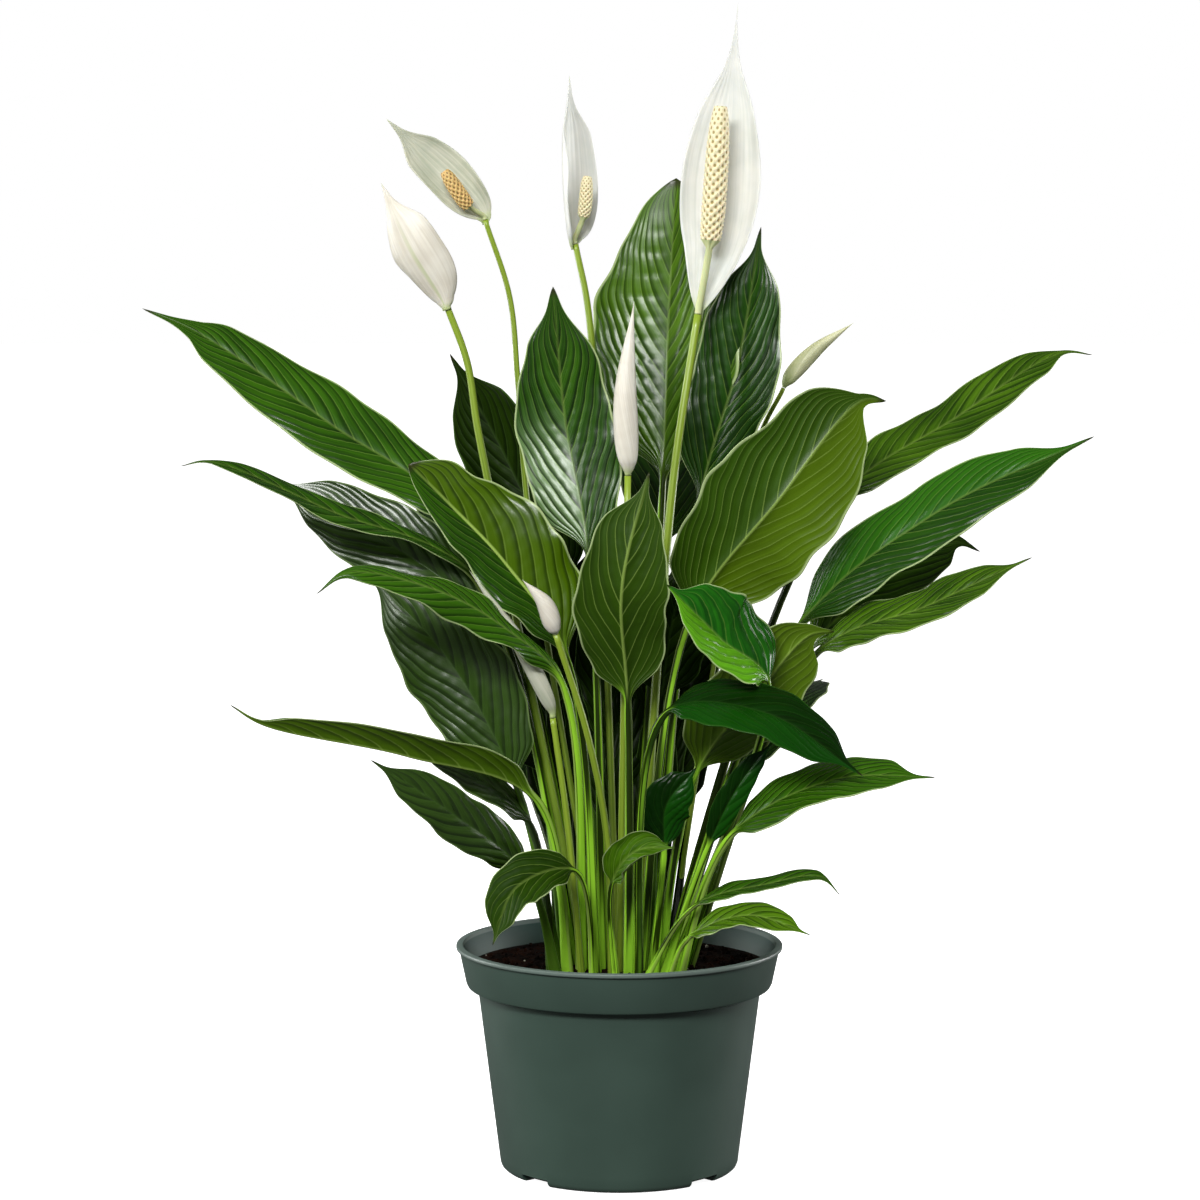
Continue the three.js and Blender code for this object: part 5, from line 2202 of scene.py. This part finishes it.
    def build_spike(self, material: Material) -> None:
        """Builds the spike: a bare stem, then florets in slanting rows, and a round end.

        Args:
            material: What it is made of.
        """
        end = self.stalk_end()
        base = end.centre[0] + SEAT_GAP * end.forward[0]
        knee = base + self.radius * end.forward[0]
        lowest, highest = (np.array(point, float) for point in self.spike)
        line = SmoothLine(np.vstack([base, knee, lowest, highest]))
        cell = 2 * math.pi * self.spike_radius / FLOWER.florets_round
        rows = 2 * round(float(np.linalg.norm(highest - lowest)) / cell / 2)
        share = np.linspace(0.0, 1.0, rows * FLOWER.floret_steps)
        stem_places = np.linspace(0.0, FLOWER.spike_stem_end, FLOWER.spike_stem_rows)
        frames = line.rolled_frames(np.concatenate([stem_places, 2 + share]), end.up[0])
        sides = FLOWER.florets_round * FLOWER.floret_steps
        dome = np.sqrt(1 - (FLOWER.spike_top * share) ** 6)
        slim = FLOWER.spike_foot_share
        foot = slim + (1 - slim) * np.sqrt(np.minimum(1, 4 * share))
        radii = self.spike_radius * dome * foot
        radii[-1] = 0.0
        stem_radius = FLOWER.spike_stem_share * self.end_radius()
        column = (np.arange(sides) * FLOWER.florets_round / sides)[None, :]
        row = (share * rows)[:, None]
        relief = (2 + np.cos(math.pi * (column + row)) + np.cos(math.pi * (column - row))) / 4
        raised = 1 + FLOWER.floret_rise * (2 * relief**0.7 - 1) * (1 - share[:, None] ** 4)
        stem_right, stem_up = round_ring(np.full(len(stem_places), stem_radius), sides)
        right, up = round_ring(radii, sides)
        right = np.vstack([stem_right, right * raised])
        up = np.vstack([stem_up, up * raised])
        rings = frames.offset(right, up)
        places = np.zeros_like(rings)
        places[: len(stem_places), :, 0] = 0.5
        places[: len(stem_places), :, 1] = -1.0
        places[len(stem_places) :, :, 0] = relief
        places[len(stem_places) :, :, 1] = share[:, None]
        piece = put_in_scene(f"{self.name}_spike_skin", skin(rings, places), material)
        settle(piece, "spadix", f"{self.name}_spike")


def flowers() -> list[Flower]:
    """Lists every flower by the place it takes in the plant.

    Returns:
        The flowers.
    """
    return [
        Flower("flower_tall", (9, -3), 2.6, ((26, -10, 342), (39, -1, 431)),
               ((49, 12, 466), (52, 15, 505), (56, 14, 545), (59, 12, 586)),
               43, 0.8, (-0.25, -1, 0), ((45, -5, 468), (50, -4, 534)), 5.5, slope=1.25),
        Flower("flower_upper_left", (-10, 8), 1.7,
               ((-46, 12, 333), (-51, 10, 398), (-55, 9, 440), (-67, 5, 478)),
               ((-92, 8, 505), (-116, 4, 528)), 26, 1, (0.35, -0.9, -0.2),
               ((-75, -1, 485), (-87, -4, 502)), 3.6, HoodTone.SHADED, SpikeTone.GOLDEN),
        Flower("flower_cream", (-16, -3), 2.2,
               ((-64, -4, 340), (-71, -4, 376), (-76, -4, 408), (-86, -6, 436)),
               ((-103, -13, 463), (-118, -8, 496)), 33, 1.3, (0.4, 0.9, 0.1),
               ((-91, -3, 447), (-103, -1, 468)), 3.2, HoodTone.CREAM),
        Flower("flower_top_centre", (-1, 3), 2, ((-15, 12, 428), (-22, 12, 466)),
               ((-26, 17, 510), (-25, 14, 550)), 38, 1.2, (0.9, -0.45, 0),
               ((-18, 9, 480), (-16, 8, 500)), 3.2),
        Flower("flower_right_bud", (26, 26), 1.5, ((70, 22, 366), (83, 20, 394)),
               ((99, 18, 413), (118, 16, 427)), 9, hood_tone=HoodTone.GREENISH),
        Flower("flower_centre_bud", (0, -10), 2.2, ((4, -24, 352),), ((3, -24, 394), (7, -22, 438)), 13,
               hood_tone=HoodTone.CREAM),
        Flower("flower_small_bud", (-4, -25), 2, ((-6, -36, 171), (-16, -56, 228), (-31, -72, 278)),
               ((-36, -75, 293), (-47, -78, 305)), 10, hood_tone=HoodTone.CREAM),
        Flower("flower_left_bud", (-19, -22), 2, ((-26, -32, 181), (-33, -36, 233)),
               ((-50, -40, 272), (-74, -42, 307)), 9, hood_tone=HoodTone.SHADED),
    ]


@dataclass(frozen=True)
class PeaceLily:
    """The whole plant in its pot."""

    def build(self) -> None:
        """Builds the pot, the soil, every leaf and every flower."""
        pot = NurseryPot()
        pot.build()
        Soil(pot).build()
        tones = {tone: tone.value.material() for tone in Tone}
        for leaf in leaves() + inner_leaves():
            leaf.build(tones)
        stalk = StalkSkin().material()
        hoods = {tone: tone.value.material() for tone in HoodTone}
        spikes = {tone: tone.value.material() for tone in SpikeTone}
        for flower in flowers():
            flower.build_stalk(stalk)
            flower.build_hood(hoods[flower.hood_tone])
            if flower.spike:
                flower.build_spike(spikes[flower.spike_tone])


# ---- Studio ----


@dataclass(frozen=True)
class SoftBox:
    """A soft square light.

    Attributes:
        name: The light's name.
        place: Where it stands, in metres.
        aim: What it points at, in metres.
        size: Its width and height, in metres.
        power: Its power in watts.
    """

    name: str
    place: Triple
    aim: Triple
    size: Pair
    power: float

    def build(self) -> None:
        """Builds the light."""
        lamp = bpy.data.lights.new(self.name, "AREA")
        lamp.shape = "RECTANGLE"
        lamp.size, lamp.size_y = self.size
        lamp.energy = self.power
        holder = bpy.data.objects.new(self.name, lamp)
        holder.location = self.place
        way = Vector(self.aim) - Vector(self.place)
        holder.rotation_euler = way.to_track_quat("-Z", "Y").to_euler()
        bpy.context.scene.collection.objects.link(holder)


@dataclass(frozen=True)
class Studio:
    """The pale floor, the soft lights, the backdrop and the camera.

    Places and the floor's size are in metres, the lens and the sensor in millimetres.
    """

    floor_size: float = 60.0
    floor_colour: Colour = (0.92, 0.92, 0.92)
    floor_glow: float = 0.95
    floor_cloud: float = 3.0
    floor_dim: float = 0.985
    backdrop: float = 1.0
    ambient: float = 0.10
    sun_place: Triple = (-0.10, -0.45, 1.0)
    sun_power: float = 0.8
    sun_spread: float = 60.0
    camera_place: Triple = (-0.00975, -1.720, 0.440)
    camera_pitch: float = 5.04
    lens: float = 103.2
    sensor: float = 36.0
    aim: Triple = (0.0, 0.0, 0.30)

    def build_floor(self) -> None:
        """Builds the floor."""
        bench = Bench("floor_paint", roughness=0.9)
        cloud = bench.noise(bench.object_place(), self.floor_cloud)
        darker = dimmed(self.floor_colour, self.floor_dim)
        material = bench.finish(
            bench.mix(cloud, darker, self.floor_colour),
            Specular_IOR_Level=0.0,
            Emission_Color=(1.0, 1.0, 1.0, 1.0),
            Emission_Strength=self.floor_glow,
        )
        bm = bmesh.new()
        bmesh.ops.create_grid(bm, x_segments=2, y_segments=2, size=self.floor_size / 2)
        floor = put_in_scene("studio_floor", bm, material)
        floor.visible_glossy = False
        floor.visible_diffuse = False

    def build_backdrop(self) -> None:
        """Makes the world white to the eye and dimmer as a light."""
        world = bpy.data.worlds.new("studio")
        world.use_nodes = True
        bpy.context.scene.world = world
        tree = world.node_tree
        sky = next(node for node in tree.nodes if node.type == "BACKGROUND")
        path = tree.nodes.new("ShaderNodeLightPath")
        strength = tree.nodes.new("ShaderNodeMapRange")
        strength.inputs["To Min"].default_value = self.ambient
        strength.inputs["To Max"].default_value = self.backdrop
        tree.links.new(path.outputs["Is Camera Ray"], strength.inputs["Value"])
        tree.links.new(strength.outputs[0], sky.inputs["Strength"])
        sky.inputs["Color"].default_value = (1.0, 1.0, 1.0, 1.0)

    def build_sun(self) -> None:
        """Builds the wide soft light from above, which falls on the whole floor alike."""
        lamp = bpy.data.lights.new("sky_light", "SUN")
        lamp.energy = self.sun_power
        lamp.angle = math.radians(self.sun_spread)
        holder = bpy.data.objects.new("sky_light", lamp)
        holder.rotation_euler = (-Vector(self.sun_place)).to_track_quat("-Z", "Y").to_euler()
        holder.visible_glossy = False
        bpy.context.scene.collection.objects.link(holder)

    def build_camera(self) -> None:
        """Builds the camera."""
        lens = bpy.data.cameras.new("camera")
        lens.sensor_width = self.sensor
        lens.sensor_fit = "HORIZONTAL"
        lens.lens = self.lens
        camera = bpy.data.objects.new("camera", lens)
        camera.location = self.camera_place
        camera.rotation_euler = (math.radians(90 - self.camera_pitch), 0, 0)
        bpy.context.scene.collection.objects.link(camera)
        bpy.context.scene.camera = camera

    def build(self) -> None:
        """Builds the whole studio."""
        self.build_camera()
        self.build_floor()
        self.build_backdrop()
        self.build_sun()
        for light in (
            SoftBox("left_box", (-1.5, 0.65, 0.45), self.aim, (0.8, 0.9), 20),
            SoftBox("right_box", (1.5, 0.65, 0.45), self.aim, (0.8, 0.9), 25),
            SoftBox("key_box", (-0.45, -1.8, 1.30), self.aim, (1.15, 0.36), 47),
            SoftBox("side_box", (-1.9, -0.9, 1.0), self.aim, (0.35, 0.9), 11),
        ):
            light.build()
        view = bpy.context.scene.view_settings
        view.view_transform = "Standard"
        view.look = "None"


def main() -> None:
    """Dresses the model and sets up the studio."""
    logging.basicConfig(level=logging.INFO, format="%(message)s")
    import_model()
    Studio().build()
    PeaceLily().build()


if __name__ == "__main__":
    main()
